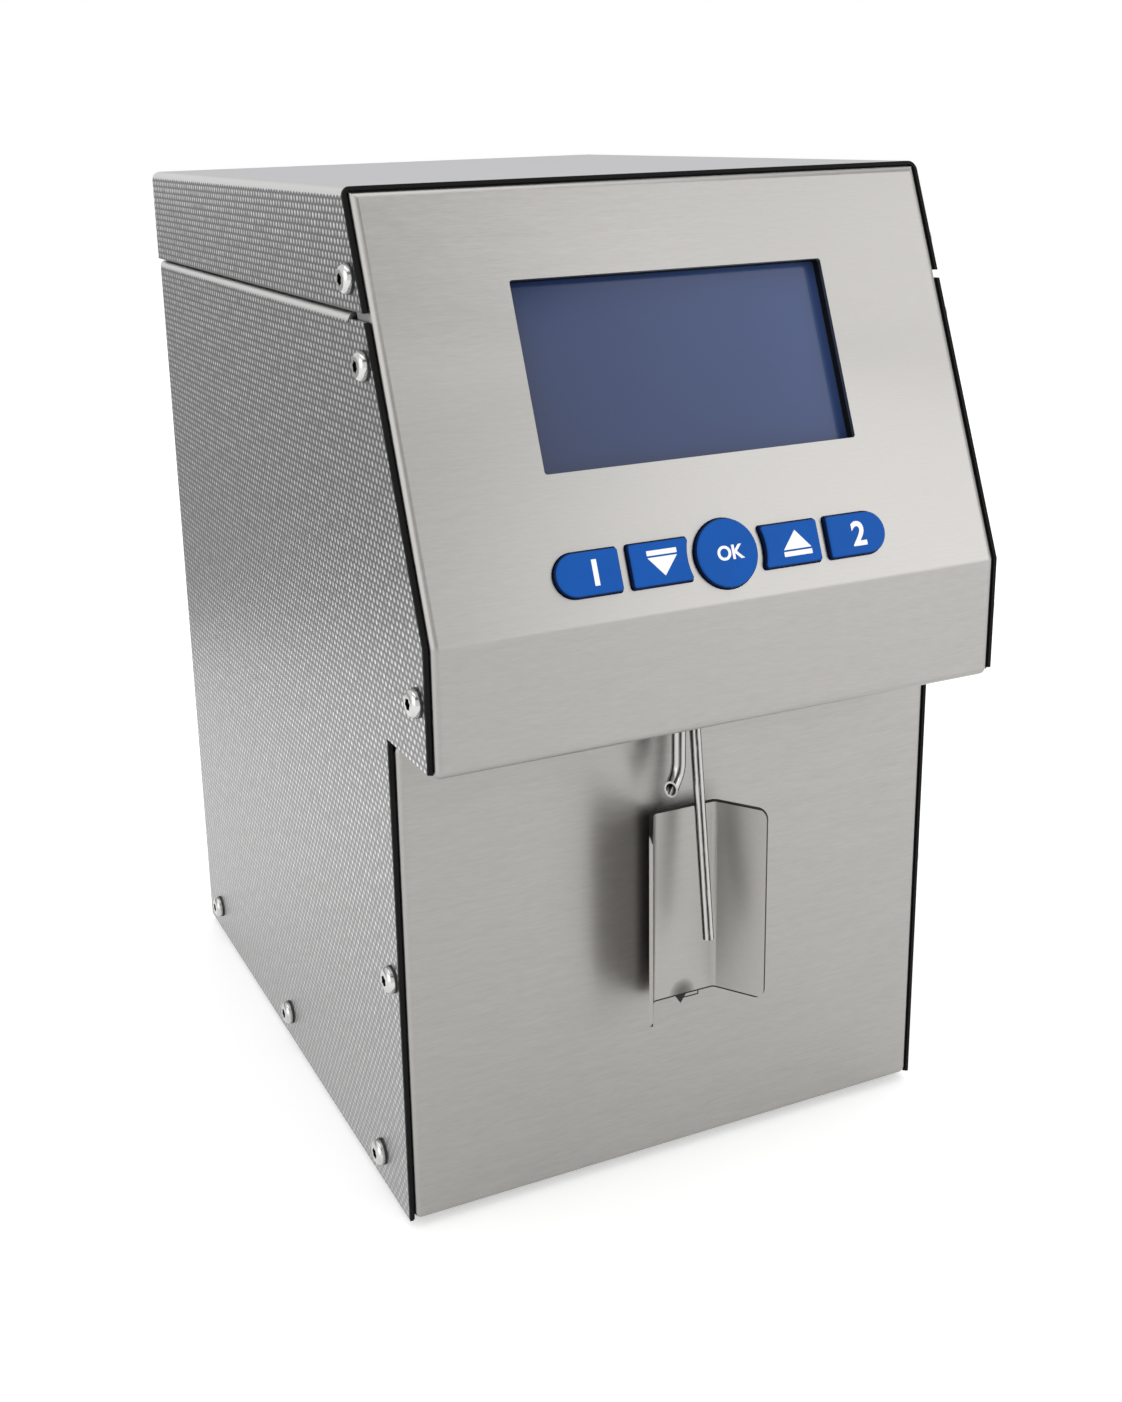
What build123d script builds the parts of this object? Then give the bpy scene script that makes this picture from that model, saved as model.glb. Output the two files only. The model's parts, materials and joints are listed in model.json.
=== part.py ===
from build123d import *
from math import atan2, cos, radians, sin, sqrt, tan
import os

# Bench milk analyzer: a sheet metal cabinet whose sloped head overhangs a sample bay.
# Millimetres, +Z up, front towards -Y, origin at table height under the middle of the whole box.

# Cabinet outline, seen from the side
cabinet_width = 173.0
cabinet_height = 285.0
cabinet_depth = 216.0
head_overhang = 27.55
top_setback = 15.5
slope_drop = 107.0
fascia_height = 34.1
seam_drop = 30.5
seam_gap = 0.7
foot_height = 3.0

# Sheets, bends and general clearances
cover_sheet = 1.0
cover_bend = 2.5
panel_sheet = 1.2
panel_bend = 2.2
return_depth = 10.0
rear_sheet = 1.2
sheet_clearance = 0.3
overrun = 5.0

# Side covers
flange_depth = 14.0
lip_setback = 16.2
lip_relief = 3.5
lip_notch = 1.2
plain_edge_drop = 1.5

# Black seals on the front edges of the covers, with a lip beside the front panels
seal_gap = 0.5
seal_recess = 0.9
seal_face = 0.9
seal_step = 0.5
seal_depth = 3.0

# Screws of the side and top covers, with their washers and clinch nuts
cover_screw_radius = 2.0
cover_screw_head_radius = 3.7
cover_screw_head_height = 2.0
cover_screw_crown = 1.2
cover_screw_socket_radius = 1.9
cover_screw_socket_depth = 1.3
cover_washer_radius = 3.9
cover_washer_thickness = 0.6
cover_hole_clearance = 0.2
cover_screw_tip = 1.0
clinch_nut_radius = 2.7
clinch_nut_height = 3.0
front_screw_setback = 6.4
top_screw_drop = 22.0
slope_screw_drop = 42.6
fascia_screw_rise = 19.1
lower_screw_drop = 70.0
bottom_screw_height = 10.0
bottom_screw_front_inset = 22.0
bottom_screw_rear_inset = 18.0

# Base tray and its feet
tray_sheet = 1.5
tray_wall_height = 20.0
tray_rear_wall_height = 8.0
foot_radius = 7.0
foot_inset_x = 22.0
foot_inset_y = 30.0
foot_stem_radius = 2.5
foot_bulb_radius = 3.3
foot_bulb_height = 2.0

# Rear panel, its screws and its vent slots
rear_screw_radius = 1.5
rear_screw_head_radius = 2.8
rear_screw_head_height = 1.8
rear_screw_inset = 7.0
rear_screw_height_shares = (0.1, 0.51, 0.92)
rear_top_screw_x = 55.0
rear_nut_radius = 2.6
rear_nut_height = 2.5
vent_length = 46.0
vent_height = 3.2
vent_pitch = 8.0
vent_count = 8
vent_x = 38.0
vent_low_drop = 105.0

# Display window and what stands behind it
window_width = 93.8
window_height = 50.3
window_centre_x = 0.2
window_centre_share = 0.53
window_corner = 0.8
window_frame_clearance = 0.3
display_recess = 4.0
glass_margin = 3.0
glass_thickness = 1.5
housing_depth = 6.0
board_thickness = 1.6
display_board_margin = 5.0

# Keys: a round one between two inner and two outer ones
key_row_rise = 12.6
key_height = 11.4
round_key_radius = 9.2
inner_key_start = 11.7
inner_key_hollow_radius = 15.0
inner_key_end = 28.5
outer_key_start = 31.3
outer_key_end = 49.7
key_corner = 0.9
key_edge = 0.7
key_proud = 1.6
key_gap = 0.35
key_float = 0.1
key_rim = 0.4
key_rim_thickness = 0.8
key_stem_radius = 2.2
key_stem_length = 3.6
key_travel = 1.0
key_dome_clearance = 0.3
dome_top_radius = 2.2
dome_foot_radius = 3.6
dome_height = 2.5
mat_thickness = 1.0
mat_margin = 1.5
keypad_board_margin = 6.0
keypad_board_half_height = 10.0

# Hex standoffs and the small screws of the boards
standoff_radius = 2.6
standoff_bore = 1.3
standoff_inset = 3.0
small_screw_radius = 1.2
small_screw_head_radius = 2.4
small_screw_head_height = 1.6
small_screw_length = 6.0

# Intake tube, which leans forward, and outlet tube, with their bushes
intake_radius = 1.6
intake_bore = 1.0
intake_root_offset = 7.6
intake_tip_offset = 16.6
intake_tip_drop = 67.7
intake_top_rise = 13.0
outlet_radius = 2.0
outlet_bore = 1.5
outlet_x = -6.0
outlet_offset = 10.0
outlet_top_rise = 10.0
outlet_bend_drop = 18.0
outlet_mouth_reach = 3.6
outlet_mouth_drop = 4.6
outlet_mouth_turn = 25.0
outlet_bend_radius = 8.0
outlet_cut_turn = 35.0
outlet_cut_fall = 11.0
bush_radius = 2.6
bush_rim_radius = 3.6
bush_rim_thickness = 0.8

# Sample holder: a splayed bent sheet on two spacers
holder_sheet = 1.0
holder_back_width = 20.0
holder_wing_length = 15.8
holder_left_splay = 30.2
holder_right_splay = 34.7
holder_x = -0.5
holder_low_drop = 91.5
holder_high_drop = 32.3
holder_standoff = 3.0
holder_corner = 3.0
holder_bend = 1.8
holder_tab_start = 0.9
holder_tab_width = 6.0
holder_tab_drop = 3.2
holder_tooth_x = -0.9
holder_tooth_width = 3.4
holder_tooth_drop = 2.6
holder_stud_radius = 1.5
holder_stud_drops = (76.0, 48.0)
holder_stud_tip = 1.0
holder_spacer_radius = 3.5
holder_nut_radius = 3.2
holder_nut_height = 2.4

# Inner bulkhead
bulkhead_offset = 60.0
bulkhead_sheet = 1.5
bulkhead_side_gap = 7.5
bulkhead_top_drop = 50.0
bulkhead_foot = 15.0
bulkhead_screw_inset = 10.0
bulkhead_screw_radius = 1.5
bulkhead_screw_head_radius = 2.8
bulkhead_screw_head_height = 2.0

# Sensor cell with its heater pad, transducers and fittings
sensor_margin = 9.0
sensor_depth = 28.0
sensor_height = 30.0
sensor_rise = 30.0
heater_thickness = 2.0
transducer_radius = 9.0
transducer_length = 8.0
fitting_radius = 2.3
fitting_bore = 1.2
fitting_length = 6.0

# Peristaltic pump: body, cover, rotor with three rollers, and the hose round them
pump_drop = 50.0
pump_wall = 3.0
pump_cavity_depth = 20.0
pump_shoulder = 20.0
hose_radius = 2.3
hose_bore = 1.4
hose_clearance = 0.3
hose_turn = 8.0
hose_bridge_rise = 20.0
intake_hose_turn = 12.0
rotor_disc_radius = 17.0
rotor_disc_thickness = 3.0
rotor_end_gap = 0.5
rotor_hub_radius = 6.0
roller_count = 3
roller_radius = 5.0
roller_orbit = 13.5
roller_end_gap = 0.3
roller_pin_radius = 1.5
running_clearance = 0.05
pump_shaft_radius = 2.5
shaft_hole_radius = 4.0
shaft_engagement = 8.0
gearbox_radius = 18.0
gearbox_length = 20.0
motor_radius = 14.0
motor_length = 35.0

# Main board with its parts
board_side_gap = 20.5
board_front_offset = 120.0
board_rear_gap = 1.8
board_standoff = 10.0
board_screw_inset = 5.0
board_part_clearance = 1.0
chip_size = 14.0
chip_thickness = 2.0
chip_place_shares = ((-0.7, 0.35), (0.0, 0.45), (0.45, 0.6))
capacitor_radius = 5.0
capacitor_height = 18.0
capacitor_place_shares = ((0.94, 0.2), (0.94, 0.4), (0.64, 0.2))
header_length = 22.0
header_width = 6.0
header_height = 9.0
header_edge_gap = 3.0

# Flat ribbon cable from the display board to the main board
ribbon_edge_inset = 25.0
ribbon_width = 16.0
ribbon_thickness = 1.0
ribbon_lead = 14.0
ribbon_bridge_rise = 8.0
ribbon_bulkhead_gap = 12.0

# Serial port
serial_edge_inset = 27.0
serial_body_width = 31.0
serial_body_height = 12.6
serial_body_depth = 12.0
serial_shell_width = 17.0
serial_shell_height = 8.6
serial_shell_taper = 1.2
serial_shell_wall = 0.8
serial_shell_corner = 1.8
port_shell_reach = 6.0
serial_pocket_depth = 5.6
serial_pin_radius = 0.5
serial_pin_length = 4.6
serial_pin_pitch = 2.77
serial_pin_row_gap = 2.84
serial_pin_rows = (5, 4)
serial_post_spacing = 25.0
serial_post_radius = 2.4
serial_post_reach = 5.0
serial_post_bore = 1.42

# Universal serial port
usb_pitch = 34.0
usb_width = 12.0
usb_height = 11.0
usb_depth = 16.0
usb_reach = 1.4
usb_wall = 1.0
usb_pocket_depth = 9.0
usb_tongue_width = 5.6
usb_tongue_height = 3.2

# Low voltage power inlet
inlet_pitch = 32.0
inlet_height = 23.0
inlet_barrel_radius = 5.5
inlet_reach = 3.0
inlet_depth = 12.0
inlet_rim_radius = 7.0
inlet_rim_thickness = 1.5
inlet_bore_radius = 2.75
inlet_bore_depth = 9.0
inlet_pin_radius = 1.0
inlet_nut_radius = 7.5
inlet_nut_thickness = 2.5

# Power switch with its rocker
switch_side_inset = 28.5
switch_height = 55.0
switch_half_width = 6.4
switch_half_length = 9.6
switch_depth = 20.0
switch_bezel_margin = 1.2
switch_bezel_thickness = 1.5
rocker_half_width = 5.0
rocker_half_length = 7.0
rocker_end_rise = 5.0
rocker_middle_rise = 3.4
rocker_keel_half_length = 5.5
rocker_keel_drop = 3.6
rocker_side_gap = 0.3
rocker_end_gap = 1.3
rocker_cavity_drop = 6.0
rocker_pivot_depth = 1.0
rocker_pin_radius = 1.2
rocker_pin_reach = 0.8
rocker_tilt = 10.0
terminal_width = 4.8
terminal_thickness = 0.8
terminal_length = 7.0
terminal_spacing = 7.0

# Planes that the pieces share
whole_depth = head_overhang + cabinet_depth - cover_sheet + port_shell_reach
fascia_y = -whole_depth / 2
front_y = fascia_y + head_overhang
rear_y = front_y + cabinet_depth
base_z = foot_height
top_z = base_z + cabinet_height
knee_z = top_z - slope_drop
chin_z = knee_z - fascia_height
seam_z = top_z - seam_drop
top_cover_low_z = seam_z + seam_gap
cover_half = cabinet_width / 2
cover_inner_half = cover_half - cover_sheet
cover_recess = seal_recess + seal_face
panel_half = cover_inner_half - seal_gap
panel_top_z = top_z - cover_sheet - seal_gap
slope_angle = atan2(top_setback + head_overhang, slope_drop)
slope_length = slope_drop / cos(slope_angle)
key_row_s = slope_length - key_row_rise
window_centre_s = (key_row_s - key_height / 2) * window_centre_share
rear_outer_y = rear_y - cover_sheet
rear_inner_y = rear_outer_y - rear_sheet
floor_z = base_z + panel_sheet + tray_sheet
bulkhead_y = front_y + bulkhead_offset
bulkhead_half_width = cover_inner_half - bulkhead_side_gap
slope_plane = Plane(
    origin=(0, front_y + top_setback, top_z),
    x_dir=(1, 0, 0),
    z_dir=(0, -cos(slope_angle), sin(slope_angle)),
)

# Routes of the milk path
intake_root = (0, front_y - intake_root_offset, chin_z)
intake_tip = (0, front_y - intake_tip_offset, chin_z - intake_tip_drop)
intake_lean = (intake_root[1] - intake_tip[1]) / (intake_root[2] - intake_tip[2])
pump_track_radius = roller_orbit + roller_radius + hose_clearance + hose_radius
pump_cavity_radius = pump_track_radius + hose_radius + hose_clearance
pump_outer_radius = pump_cavity_radius + pump_wall
pump_x = outlet_x + pump_track_radius
pump_z = chin_z - pump_drop
pump_floor_y = bulkhead_y - pump_wall
pump_mouth_y = pump_floor_y - pump_cavity_depth
hose_y = (pump_floor_y + pump_mouth_y) / 2
sensor_out_x = pump_x + pump_track_radius
sensor_z = chin_z + sensor_rise
sensor_back_y = bulkhead_y - heater_thickness
sensor_front_y = sensor_back_y - sensor_depth
sensor_in_z = sensor_z + sensor_height / 2
board_half_width = cover_inner_half - board_side_gap
board_z = floor_z + board_standoff
board_top_z = board_z + board_thickness
board_front_y = front_y + board_front_offset
board_rear_y = rear_inner_y - board_rear_gap
board_free_half = board_half_width - board_screw_inset - small_screw_head_radius - board_part_clearance
ribbon_x = ribbon_edge_inset - board_half_width
serial_x = serial_edge_inset - board_half_width
usb_x = serial_x + usb_pitch
inlet_x = usb_x + inlet_pitch
switch_x = cover_half - switch_side_inset
rocker_pivot = (switch_x, rear_outer_y - rocker_pivot_depth, base_z + switch_height)


def block(x_range, y_range, z_range):
    """Box that fills three ranges."""
    ranges = (x_range, y_range, z_range)
    middle = [(low + high) / 2 for low, high in ranges]
    return Pos(*middle) * Box(*[high - low for low, high in ranges])


def rod(radius, start, end):
    """Round bar from one point to another."""
    line = Vector(*end) - Vector(*start)
    return extrude(Plane(origin=start, z_dir=line) * Circle(radius), amount=line.length)


def pipe(radius, bore, start, end):
    """Round bar with a hole all along it."""
    return rod(radius, start, end) - rod(bore, start, end)


def hexagon_bar(radius, start, end):
    """Six-sided bar from one point to another, as wide across its corners as the radius says."""
    line = Vector(*end) - Vector(*start)
    section = Plane(origin=start, z_dir=line) * RegularPolygon(radius, side_count=6)
    return extrude(section, amount=line.length)


def side_prism(points, x_low, x_high):
    """Solid whose outline, seen from the side, runs through points of (y, z)."""
    plane = Plane(origin=(x_low, 0, 0), x_dir=(0, 1, 0), z_dir=(1, 0, 0))
    return extrude(plane * make_face(Polyline(*points, close=True)), amount=x_high - x_low)


def rounded(solid, middles, radius):
    """The solid with the edges whose middles lie nearest to these points rounded."""
    edges = []
    for middle in middles:
        edges.append(min(solid.edges(), key=lambda edge: (edge.center() - Vector(*middle)).length))
    return solid.fillet(radius, edges)


def both_sides(solid):
    """The solid and its mirror image on the other side of the cabinet."""
    return [solid, mirror(solid, about=Plane.YZ)]


def slope_y(z):
    """Depth of the sloped front at a height."""
    return front_y + top_setback - (top_z - z) * tan(slope_angle)


def slope_z(y):
    """Height of the sloped front at a depth."""
    return top_z - (front_y + top_setback - y) / tan(slope_angle)


def slope_spot(x, s, lift):
    """Place on the sloped front: x across, s down from its top edge, lift outwards."""
    return slope_plane * Pos(x, -s, lift)


def slope_block(x_range, s_range, lift_range):
    """Box that lies square to the sloped front."""
    high_s, low_s = s_range
    return slope_plane * block(x_range, (-low_s, -high_s), lift_range)


def slope_point(x, s, lift):
    """Point at a place on the sloped front."""
    return tuple(slope_spot(x, s, lift).position)


def front_line(inset, z_low, z_high):
    """Points (y, z) up the front outline, moved inwards by inset."""
    sloped = inset / cos(slope_angle)
    return [
        (front_y + inset, z_low),
        (front_y + inset, chin_z + inset),
        (fascia_y + inset, chin_z + inset),
        (fascia_y + inset, slope_z(fascia_y + inset - sloped)),
        (slope_y(z_high) + sloped, z_high),
    ]


def front_screw_spots():
    """Places (y, z) of the screws that run down the front edges of the covers."""
    sloped = front_screw_setback / cos(slope_angle)
    spots = []
    for z in (top_z - top_screw_drop, top_z - slope_screw_drop):
        spots.append((slope_y(z) + sloped, z))
    spots.append((fascia_y + front_screw_setback, chin_z + fascia_screw_rise))
    spots.append((front_y + front_screw_setback, chin_z - lower_screw_drop))
    return spots


def bottom_screw_spots():
    """Places (y, z) of the screws along the bottom of a side cover."""
    first = front_y + bottom_screw_front_inset
    last = rear_y - bottom_screw_rear_inset
    return [(y, base_z + bottom_screw_height) for y in (first, (first + last) / 2, last)]


def side_holes(spots, radius):
    """Bars through the whole cabinet that cut the screw holes at places of (y, z)."""
    reach = cover_half + overrun
    return [rod(radius, (-reach, y, z), (reach, y, z)) for y, z in spots]


def base_tray():
    """Floor of the cabinet, with a wall folded up along each side and the rear."""
    low_z = base_z + panel_sheet
    back_start = front_y + return_depth + sheet_clearance
    high_z = low_z + tray_wall_height
    rear_end = rear_inner_y - sheet_clearance
    outer = block((-cover_inner_half, cover_inner_half), (back_start, rear_end), (low_z, high_z))
    inner_half = cover_inner_half - tray_sheet
    inner = block(
        (-inner_half, inner_half),
        (back_start - overrun, rear_end - tray_sheet),
        (floor_z, high_z + overrun),
    )
    above_rear_wall = block(
        (-inner_half, inner_half),
        (rear_end - tray_sheet - overrun, rear_end + overrun),
        (low_z + tray_rear_wall_height, high_z + overrun),
    )
    apron_half = panel_half - panel_bend
    apron = block((-apron_half, apron_half), (front_y + panel_bend, back_start), (low_z, floor_z))
    tray = outer - inner - above_rear_wall + apron
    for hole in side_holes(bottom_screw_spots(), cover_screw_radius):
        tray -= hole
    for x, y in bulkhead_spots():
        tray -= rod(bulkhead_screw_radius, (x, y, base_z), (x, y, floor_z + overrun))
    for x, y in foot_spots():
        tray -= rod(foot_stem_radius, (x, y, base_z), (x, y, floor_z + overrun))
    for x, y in board_spots():
        tray -= rod(small_screw_radius, (x, y, base_z), (x, y, floor_z + overrun))
    return tray


def foot_spots():
    """Places (x, y) of the four feet."""
    x = cover_half - foot_inset_x
    return [(side * x, y) for side in (-1, 1) for y in (front_y + foot_inset_y, rear_y - foot_inset_y)]


def feet():
    """Push-in rubber feet, each with a stem and a bulb above the tray floor."""
    tray_low_z = base_z + panel_sheet
    solids = []
    for x, y in foot_spots():
        pad = rod(foot_radius, (x, y, 0), (x, y, tray_low_z))
        stem = rod(foot_stem_radius, (x, y, 0), (x, y, floor_z + foot_bulb_height))
        bulb = rod(foot_bulb_radius, (x, y, floor_z), (x, y, floor_z + foot_bulb_height))
        solids.append(pad + stem + bulb)
    return solids


def left_side_cover():
    """Side cover with a flange folded in at the rear and a rolled lip along the top."""
    outline = front_line(cover_recess, base_z, seam_z) + [(rear_y, seam_z), (rear_y, base_z)]
    outer = side_prism(outline, -cover_half, flange_depth - cover_half)
    rear_middle = (-cover_half, rear_y, (base_z + seam_z) / 2)
    lip_middle = (-cover_half, (slope_y(seam_z) + rear_y) / 2, seam_z)
    outer = rounded(outer, (rear_middle, lip_middle), cover_bend)
    inner = block(
        (-cover_inner_half, flange_depth - cover_half + overrun),
        (fascia_y - overrun, rear_outer_y),
        (base_z - overrun, seam_z - cover_sheet),
    )
    rear_middle = (-cover_inner_half, rear_outer_y, (base_z - overrun + seam_z - cover_sheet) / 2)
    lip_middle = (-cover_inner_half, (fascia_y - overrun + rear_outer_y) / 2, seam_z - cover_sheet)
    inner = rounded(inner, (rear_middle, lip_middle), cover_bend - cover_sheet)
    plain_edge_z = seam_z - cover_bend
    lip_front = block(
        (-cover_half - overrun, overrun - cover_half + flange_depth),
        (fascia_y - overrun, front_y + lip_setback),
        (plain_edge_z, seam_z + overrun),
    )
    lip_rear = block(
        (cover_bend - cover_half, overrun - cover_half + flange_depth),
        (rear_y - lip_relief, rear_y + overrun),
        (plain_edge_z, seam_z + overrun),
    )
    plain_high_z = seam_z - plain_edge_drop
    plain_edge = [
        front_line(cover_recess, base_z, plain_edge_z)[-1],
        front_line(cover_recess, base_z, plain_high_z)[-1],
        (front_y + lip_setback - lip_notch, plain_high_z),
        (front_y + lip_setback - lip_notch, plain_edge_z),
    ]
    cover = outer - inner - lip_front - lip_rear
    cover += side_prism(plain_edge, -cover_half, -cover_inner_half)
    spots = front_screw_spots()[1:] + bottom_screw_spots()
    for hole in side_holes(spots, cover_screw_radius + cover_hole_clearance):
        cover -= hole
    for x, z in rear_screw_spots():
        cover -= rod(rear_screw_radius, (x, rear_inner_y, z), (x, rear_y + overrun, z))
    return cover


def top_cover():
    """Lid folded down over both sides and the rear, open to the front and below."""
    outline = [
        front_line(cover_recess, base_z, top_cover_low_z)[-1],
        front_line(cover_recess, base_z, top_z)[-1],
        (rear_y, top_z),
        (rear_y, top_cover_low_z),
    ]
    outer = side_prism(outline, -cover_half, cover_half)
    middle_y = (front_y + top_setback + rear_y) / 2
    bends = [(-cover_half, middle_y, top_z), (cover_half, middle_y, top_z), (0, rear_y, top_z)]
    outer = rounded(outer, bends, cover_bend)
    inner = block(
        (-cover_inner_half, cover_inner_half),
        (fascia_y - overrun, rear_outer_y),
        (top_cover_low_z - overrun, top_z - cover_sheet),
    )
    inner_top = top_z - cover_sheet
    middle_y = (fascia_y - overrun + rear_outer_y) / 2
    bends = [(x, middle_y, inner_top) for x in (-cover_inner_half, cover_inner_half)]
    bends.append((0, rear_outer_y, inner_top))
    inner = rounded(inner, bends, cover_bend - cover_sheet)
    cover = outer - inner
    for hole in side_holes(front_screw_spots()[:1], cover_screw_radius + cover_hole_clearance):
        cover -= hole
    for x, z in rear_screw_spots():
        cover -= rod(rear_screw_radius, (x, rear_inner_y, z), (x, rear_y + overrun, z))
    return cover


def head_front_panel():
    """Folded sheet with the sloped face, the fascia and the underside of the head."""
    low_y = front_y + return_depth
    top_y = slope_y(panel_top_z)
    outline = [
        (top_y, panel_top_z),
        (fascia_y, knee_z),
        (fascia_y, chin_z),
        (low_y, chin_z),
        (low_y, chin_z + return_depth),
        (fascia_y + return_depth, chin_z + return_depth),
        (fascia_y + return_depth, knee_z),
        (top_y + return_depth, panel_top_z),
    ]
    outer = side_prism(outline, -panel_half, panel_half)
    cross = [(0, top_y, panel_top_z), (0, fascia_y, knee_z), (0, fascia_y, chin_z)]
    lengthwise = [
        ((top_y + fascia_y) / 2, (panel_top_z + knee_z) / 2),
        (fascia_y, (knee_z + chin_z) / 2),
        ((fascia_y + low_y) / 2, chin_z),
    ]
    sides = [(x, y, z) for x in (-panel_half, panel_half) for y, z in lengthwise]
    outer = rounded(outer, cross + sides, panel_bend)
    sloped = panel_sheet / cos(slope_angle)
    inner_top_z = panel_top_z - panel_sheet
    inner_top_y = slope_y(inner_top_z) + sloped
    inner_y = fascia_y + panel_sheet
    inner_knee_z = slope_z(inner_y - sloped)
    inner_chin_z = chin_z + panel_sheet
    back_y = top_y + return_depth + overrun
    outline = [
        (inner_top_y, inner_top_z),
        (inner_y, inner_knee_z),
        (inner_y, inner_chin_z),
        (back_y, inner_chin_z),
        (back_y, inner_top_z),
    ]
    inner_half = panel_half - panel_sheet
    inner = side_prism(outline, -inner_half, inner_half)
    cross = [(0, inner_top_y, inner_top_z), (0, inner_y, inner_knee_z), (0, inner_y, inner_chin_z)]
    lengthwise = [
        ((inner_top_y + inner_y) / 2, (inner_top_z + inner_knee_z) / 2),
        (inner_y, (inner_knee_z + inner_chin_z) / 2),
        ((inner_y + back_y) / 2, inner_chin_z),
    ]
    sides = [(x, y, z) for x in (-inner_half, inner_half) for y, z in lengthwise]
    inner = rounded(inner, cross + sides, panel_bend - panel_sheet)
    panel = outer - inner
    window = RectangleRounded(window_width, window_height, window_corner)
    cut = extrude(slope_spot(window_centre_x, window_centre_s, overrun) * window, amount=-overrun * 2)
    panel -= cut
    for sketch in key_sketches(key_gap).values():
        panel -= extrude(slope_spot(0, key_row_s, overrun) * sketch, amount=-overrun * 2)
    for hole in side_holes(front_screw_spots()[:3], cover_screw_radius):
        panel -= hole
    for x, y in bush_spots():
        panel -= rod(bush_radius, (x, y, chin_z - overrun), (x, y, chin_z + overrun))
    return panel


def lower_front_panel():
    """Folded sheet behind the sample bay."""
    low_y = front_y + return_depth
    outer = block((-panel_half, panel_half), (front_y, low_y), (base_z, chin_z))
    middle_z = (base_z + chin_z) / 2
    bends = [(0, front_y, base_z), (0, front_y, chin_z)]
    for x in (-panel_half, panel_half):
        bends += [(x, front_y, middle_z), (x, front_y + return_depth / 2, base_z)]
        bends += [(x, front_y + return_depth / 2, chin_z)]
    outer = rounded(outer, bends, panel_bend)
    inner_half = panel_half - panel_sheet
    inner_y = front_y + panel_sheet
    back_y = low_y + overrun
    low_z = base_z + panel_sheet
    high_z = chin_z - panel_sheet
    inner = block((-inner_half, inner_half), (inner_y, back_y), (low_z, high_z))
    bends = [(0, inner_y, low_z), (0, inner_y, high_z)]
    for x in (-inner_half, inner_half):
        bends += [(x, inner_y, middle_z), (x, (inner_y + back_y) / 2, low_z)]
        bends += [(x, (inner_y + back_y) / 2, high_z)]
    inner = rounded(inner, bends, panel_bend - panel_sheet)
    panel = outer - inner
    for hole in side_holes(front_screw_spots()[3:], cover_screw_radius):
        panel -= hole
    for drop in holder_stud_drops:
        z = chin_z - drop
        start = (holder_x, front_y - overrun, z)
        panel -= rod(holder_stud_radius, start, (holder_x, front_y + overrun, z))
    return panel


def front_band(near, far):
    """Outline, seen from the side, of a band that follows the front between two depths."""
    high_z = seam_z - plain_edge_drop
    return front_line(near, base_z, high_z) + front_line(far, base_z, high_z)[::-1]


def left_edge_seal():
    """Black seal on the front edges of the side cover, with a lip beside the front panels."""
    bar = side_prism(front_band(seal_recess, cover_recess), -cover_half, -cover_inner_half)
    bar -= block(
        (-cover_half - overrun, overrun - cover_inner_half),
        (fascia_y, front_y + seal_recess),
        (chin_z, chin_z + cover_recess),
    )
    lip = front_band(seal_recess + seal_step, seal_recess + seal_depth)
    return bar + side_prism(lip, -cover_inner_half, -panel_half)


def arched_bar(half, high_z, bend):
    """Long bar with the section of the head above the seam, rounded at its upper corners."""
    start_y = fascia_y - overrun
    bar = block((-half, half), (start_y, rear_y), (top_cover_low_z, high_z))
    return rounded(bar, [(x, (start_y + rear_y) / 2, high_z) for x in (-half, half)], bend)


def slope_slab(near, far):
    """Slab across the head above the seam, between two depths behind its sloped face."""
    outline = [front_line(near, base_z, z)[-1] for z in (top_cover_low_z, top_z)]
    outline += [front_line(far, base_z, z)[-1] for z in (top_z, top_cover_low_z)]
    return side_prism(outline, -cover_half, cover_half)


def top_edge_seal():
    """Black seal round the front edge of the top cover, with a lip beside the head panel."""
    inside = arched_bar(cover_inner_half, top_z - cover_sheet, cover_bend - cover_sheet)
    bar = arched_bar(cover_half, top_z, cover_bend) - inside
    lip = inside - block(
        (-panel_half, panel_half), (fascia_y, rear_y), (top_cover_low_z - overrun, panel_top_z)
    )
    bar &= slope_slab(seal_recess, cover_recess)
    return bar + (lip & slope_slab(seal_recess + seal_step, seal_recess + seal_depth))


def cover_screw(y, z, shank_length):
    """Pan head screw in the left cover, with a socket."""
    seat_x = -cover_half - cover_washer_thickness
    top_x = seat_x - cover_screw_head_height
    head = rod(cover_screw_head_radius, (top_x, y, z), (seat_x, y, z))
    rim = head.edges().group_by(Axis.X)[0]
    head = head.fillet(cover_screw_crown, rim)
    shank = rod(cover_screw_radius, (seat_x, y, z), (seat_x + shank_length, y, z))
    floor_x = top_x + cover_screw_socket_depth
    return head + shank - hexagon_bar(cover_screw_socket_radius, (top_x, y, z), (floor_x, y, z))


def cover_screw_rows():
    """Every cover screw's place (y, z) with the x where its clinch nut begins."""
    front_nut_x = panel_sheet - panel_half
    bottom_nut_x = tray_sheet - cover_inner_half
    rows = [(y, z, front_nut_x) for y, z in front_screw_spots()]
    return rows + [(y, z, bottom_nut_x) for y, z in bottom_screw_spots()]


def cover_screws():
    """The screws of the covers, on both sides."""
    solids = []
    for y, z, nut_x in cover_screw_rows():
        shank_length = nut_x + clinch_nut_height + cover_screw_tip + cover_half + cover_washer_thickness
        solids += both_sides(cover_screw(y, z, shank_length))
    return solids


def cover_washers():
    """Washers under the heads of the cover screws."""
    bore = cover_screw_radius + cover_hole_clearance
    solids = []
    for y, z, _ in cover_screw_rows():
        seat = (-cover_half, y, z)
        outside = (-cover_half - cover_washer_thickness, y, z)
        solids += both_sides(pipe(cover_washer_radius, bore, outside, seat))
    return solids


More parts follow.
